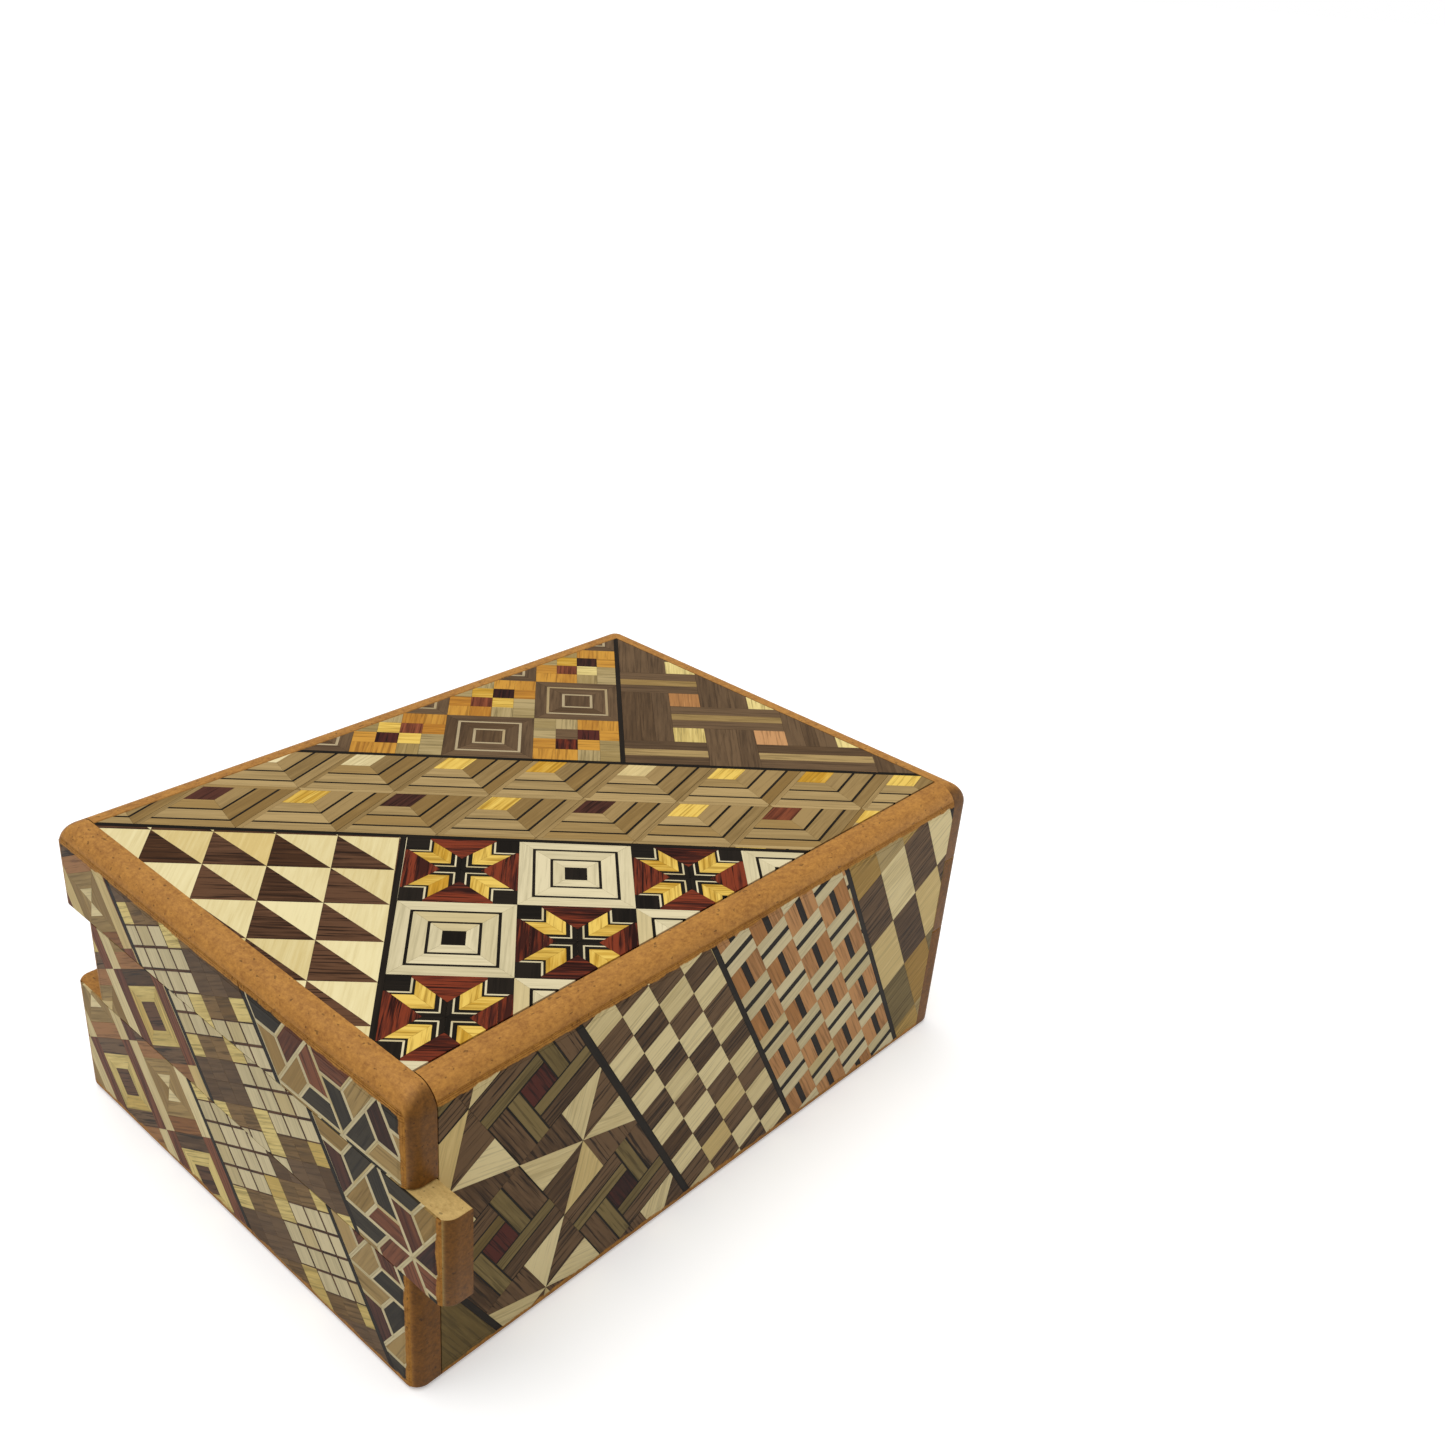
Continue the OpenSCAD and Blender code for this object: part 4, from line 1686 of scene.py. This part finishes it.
@dataclass
class Carcass:
    """Front and back boards, inner ends, floor, peg and the fixed slats of the right end."""

    tongue: float = 40.0
    room: Point = (54.0, 57.0)
    plain: dict[str, BoardFinish] = field(default_factory=lambda: {
        "left_inner_end": CROSS_WOOD, "right_inner_end": CROSS_WOOD, "compartment_floor": INNER_WOOD,
        "bottom_stop_peg": PEG_WOOD})

    def _tongue_room(self, groove: Point) -> Blocks:
        """Return the block that a panel's tongue needs in a right slat."""
        return (((self.room[0], -self.tongue, groove[0]), (self.room[1], self.tongue, groove[1])),)

    def build(self) -> None:
        """Make the boards and veneers, and dress the nodes that keep their shape."""
        lay(SideBoard("front", -1, FRONT, front_design, 11), SideBoard("back", 1, BACK, back_design, 12))
        lay(EndStrip("right_upper", "carcass", 1, BOX.key_top + BOX.gap, BOX.height, 13, BOX.end_plane,
                     cuts=self._tongue_room(BOX.lid_groove)),
            EndStrip("right_lower", "carcass", 1, 0.0, BOX.key_bottom - BOX.gap, 14, BOX.end_plane,
                     cuts=self._tongue_room(BOX.bottom_groove)))
        dress_nodes(self.plain)


@dataclass
class Key:
    """A key across one end, and the plain nodes that ride with it."""

    strip: EndStrip
    plain: dict[str, BoardFinish]

    def build(self) -> None:
        """Make the slat and its veneer, and dress the cleat and the lugs."""
        lay(self.strip)
        dress_nodes(self.plain)


@dataclass
class Panel:
    """The sliding lid or bottom: its board, its veneer and the left end's slat that rides with it."""

    name: str
    face: Face
    design: Callable[[], Cutting]
    seed: int
    strip: EndStrip

    def build(self) -> None:
        """Make the veneer and the slat, and dress the board."""
        half, end, gap = BOX.side_plane - BOX.gap, BOX.end_plane, BOX.gap
        VeneerSheet(f"{self.name}_veneer", self.name, self.face, (-end - gap, -half), (end - gap, half),
                    self.design, f"{self.name}_marquetry", self.seed, rounded=False).build()
        lay(self.strip)
        dress_nodes({f"{self.name}_board": INNER_WOOD})


# ---- Stage, light and camera ----


@dataclass
class Studio:
    """White floor and backdrop, soft light from above, and the camera."""

    floor_half: float = 30.0
    floor_drop: float = 0.02
    floor_matt: Triple = (0.60, 0.565, 0.49)
    floor_shown: Triple = (0.96, 0.96, 0.96)
    floor_glow: float = 0.30
    sky: float = 0.36
    sun_towards: Triple = (-0.14, 0.16, 0.97)
    sun_spread: float = 60.0
    sun_strength: float = 1.95
    fills: tuple[tuple[str, Triple, float, float], ...] = (
        ("left_fill", (-1.1, 0.1, 0.45), 0.8, 0.4), ("right_fill", (0.42, -0.30, 0.16), 0.25, 0.42))
    lamp_colour: Triple = (1.0, 0.93, 0.80)
    lamp_aim: Triple = (0.0, 0.0, 0.025)
    azimuth: float = -48.9627
    elevation: float = 28.4505
    roll: float = 4.2855
    distance: float = 0.251388
    pan: Point = (0.021792, 0.02892)
    aim_height: float = 0.025164
    lens: float = 37.152
    shift: Point = (0.0305, 0.0320)

    def build(self) -> None:
        """Make the floor, the world, the lamps and the camera."""
        bpy.context.scene.view_settings.view_transform = "Standard"
        self._floor()
        self._world()
        sun = np.array(self.sun_towards)
        self._light("overhead", "SUN", sun / np.linalg.norm(sun), sun, angle=math.radians(self.sun_spread),
                    energy=self.sun_strength)
        for name, place, size, watts in self.fills:
            self._light(name, "AREA", np.array(place), np.array(place) - np.array(self.lamp_aim), size=size,
                        energy=watts, color=self.lamp_colour)
        self._camera()

    def _floor(self) -> None:
        """A wide level floor: matt where it lights the box, white where it is seen, darker under the box."""
        half = self.floor_half / MM
        ring = np.array([(-half, -half, 0.0), (half, -half, 0.0), (half, half, 0.0), (-half, half, 0.0)])
        mesh = make_mesh("floor", ring - np.array([0, 0, self.floor_drop]), [np.array([[0, 1, 2, 3]])])
        in_scene("floor", mesh)
        material, n = new_material("floor_white")
        matt, shown = (n.add("BsdfDiffuse", {"Color": tint}) for tint in (self.floor_matt, self.floor_shown))
        glow = n.add("Emission", {"Strength": self.floor_glow})
        path = n.add("LightPath").outputs
        seen = n.math("MAXIMUM", path["Is Camera Ray"],
                      n.math("MAXIMUM", path["Is Glossy Ray"], path["Is Transmission Ray"]))
        both = n.add("AddShader", {0: shown.outputs[0], 1: glow.outputs[0]})
        chosen = n.add("MixShader", {0: seen, 1: matt.outputs[0], 2: both.outputs[0]})
        n.add("OutputMaterial", {"Surface": chosen.outputs[0]})
        mesh.materials.append(material)

    def _world(self) -> None:
        """White seen straight on, and a softer even light on the box."""
        world = bpy.data.worlds.new("studio")
        bpy.context.scene.world = world
        world.use_nodes = True
        n = Nodes(world.node_tree)
        light, white = (n.add("Background", {"Strength": level, "Color": (1.0, 1.0, 1.0)})
                        for level in (self.sky, 1.0))
        seen = n.add("LightPath").outputs["Is Camera Ray"]
        chosen = n.add("MixShader", {0: seen, 1: light.outputs[0], 2: white.outputs[0]})
        n.add("OutputWorld", {"Surface": chosen.outputs[0]})

    @staticmethod
    def _set_pose(thing: Object, back: Array, place: Array, roll: float = 0.0) -> None:
        """Place an object that looks against a direction, and roll it about that.

        Args:
            thing: The lamp or the camera.
            back: The direction from what it looks at, of length 1.
            place: Where it stands.
            roll: Angle in radians.
        """
        right, up = Studio._aimed(back)
        c, s = math.cos(roll), math.sin(roll)
        matrix = np.eye(4)
        matrix[:3] = np.stack([c * right + s * up, -s * right + c * up, back, place], axis=1)
        thing.matrix_world = Matrix(matrix.tolist())

    @staticmethod
    def _aimed(back: Array) -> tuple[Array, Array]:
        """Work out how something stands that looks against a direction.

        Args:
            back: The direction.

        Returns:
            Its right and upward directions.
        """
        right = np.cross((0.0, 0.0, 1.0), back)
        right /= np.linalg.norm(right)
        return right, np.cross(back, right)

    def _light(self, name: str, kind: str, place: Array, back: Array, **settings: object) -> None:
        """Add a light.

        Args:
            name: Its name.
            kind: SUN for an even light from a part of the sky, or AREA for a square soft lamp.
            place: Where it stands.
            back: The direction that it shines from.
            settings: Its properties.
        """
        data = bpy.data.lights.new(name, kind)
        for key, value in settings.items():
            setattr(data, key, value)
        self._set_pose(in_scene(name, data), back / np.linalg.norm(back), place)

    def _camera(self) -> None:
        """The camera: turned about the box by azimuth and elevation, rolled, and panned in its own plane."""
        data = bpy.data.cameras.new("camera")
        data.lens, data.sensor_width, data.clip_start = self.lens, 36.0, 0.01
        data.shift_x, data.shift_y = self.shift
        a, e = math.radians(self.azimuth), math.radians(self.elevation)
        back = np.array([math.sin(a) * math.cos(e), -math.cos(a) * math.cos(e), math.sin(e)])
        right, up = self._aimed(back)
        aim = np.array([0, 0, self.aim_height]) + self.pan[0] * right + self.pan[1] * up
        bpy.context.scene.camera = in_scene("camera", data)
        self._set_pose(bpy.context.scene.camera, back, aim + back * self.distance, math.radians(self.roll))


def main() -> None:
    """Load the frame, build the box group by group, then light it and set the camera."""
    logging.basicConfig(level=logging.INFO, format="%(name)s: %(message)s")
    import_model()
    below, above, grooves = BOX.key_bottom - BOX.gap, BOX.key_top + BOX.gap, lug_grooves()
    for group in (
            Carcass(),
            Key(EndStrip("left_key", "left_key", -1, BOX.key_bottom, BOX.key_top, 15, slid=BOX.key_travel,
                         finish=KEY_WOOD), {"left_key_cleat": CROSS_WOOD, "left_key_lugs": PEG_WOOD}),
            Key(EndStrip("right_key", "right_key", 1, BOX.key_bottom, BOX.key_top, 16, finish=KEY_WOOD),
                {"right_key_cleat": CROSS_WOOD}),
            Panel("lid", TOP, lid_design, 17,
                  EndStrip("left_upper", "lid", -1, above, BOX.height, 18, cuts=grooves)),
            Panel("bottom", UNDER, bottom_design, 19,
                  EndStrip("left_lower", "bottom", -1, 0.0, below, 20, cuts=grooves))):
        LOG.info("building %s", type(group).__name__)
        group.build()
    Studio().build()


if __name__ == "__main__":
    main()
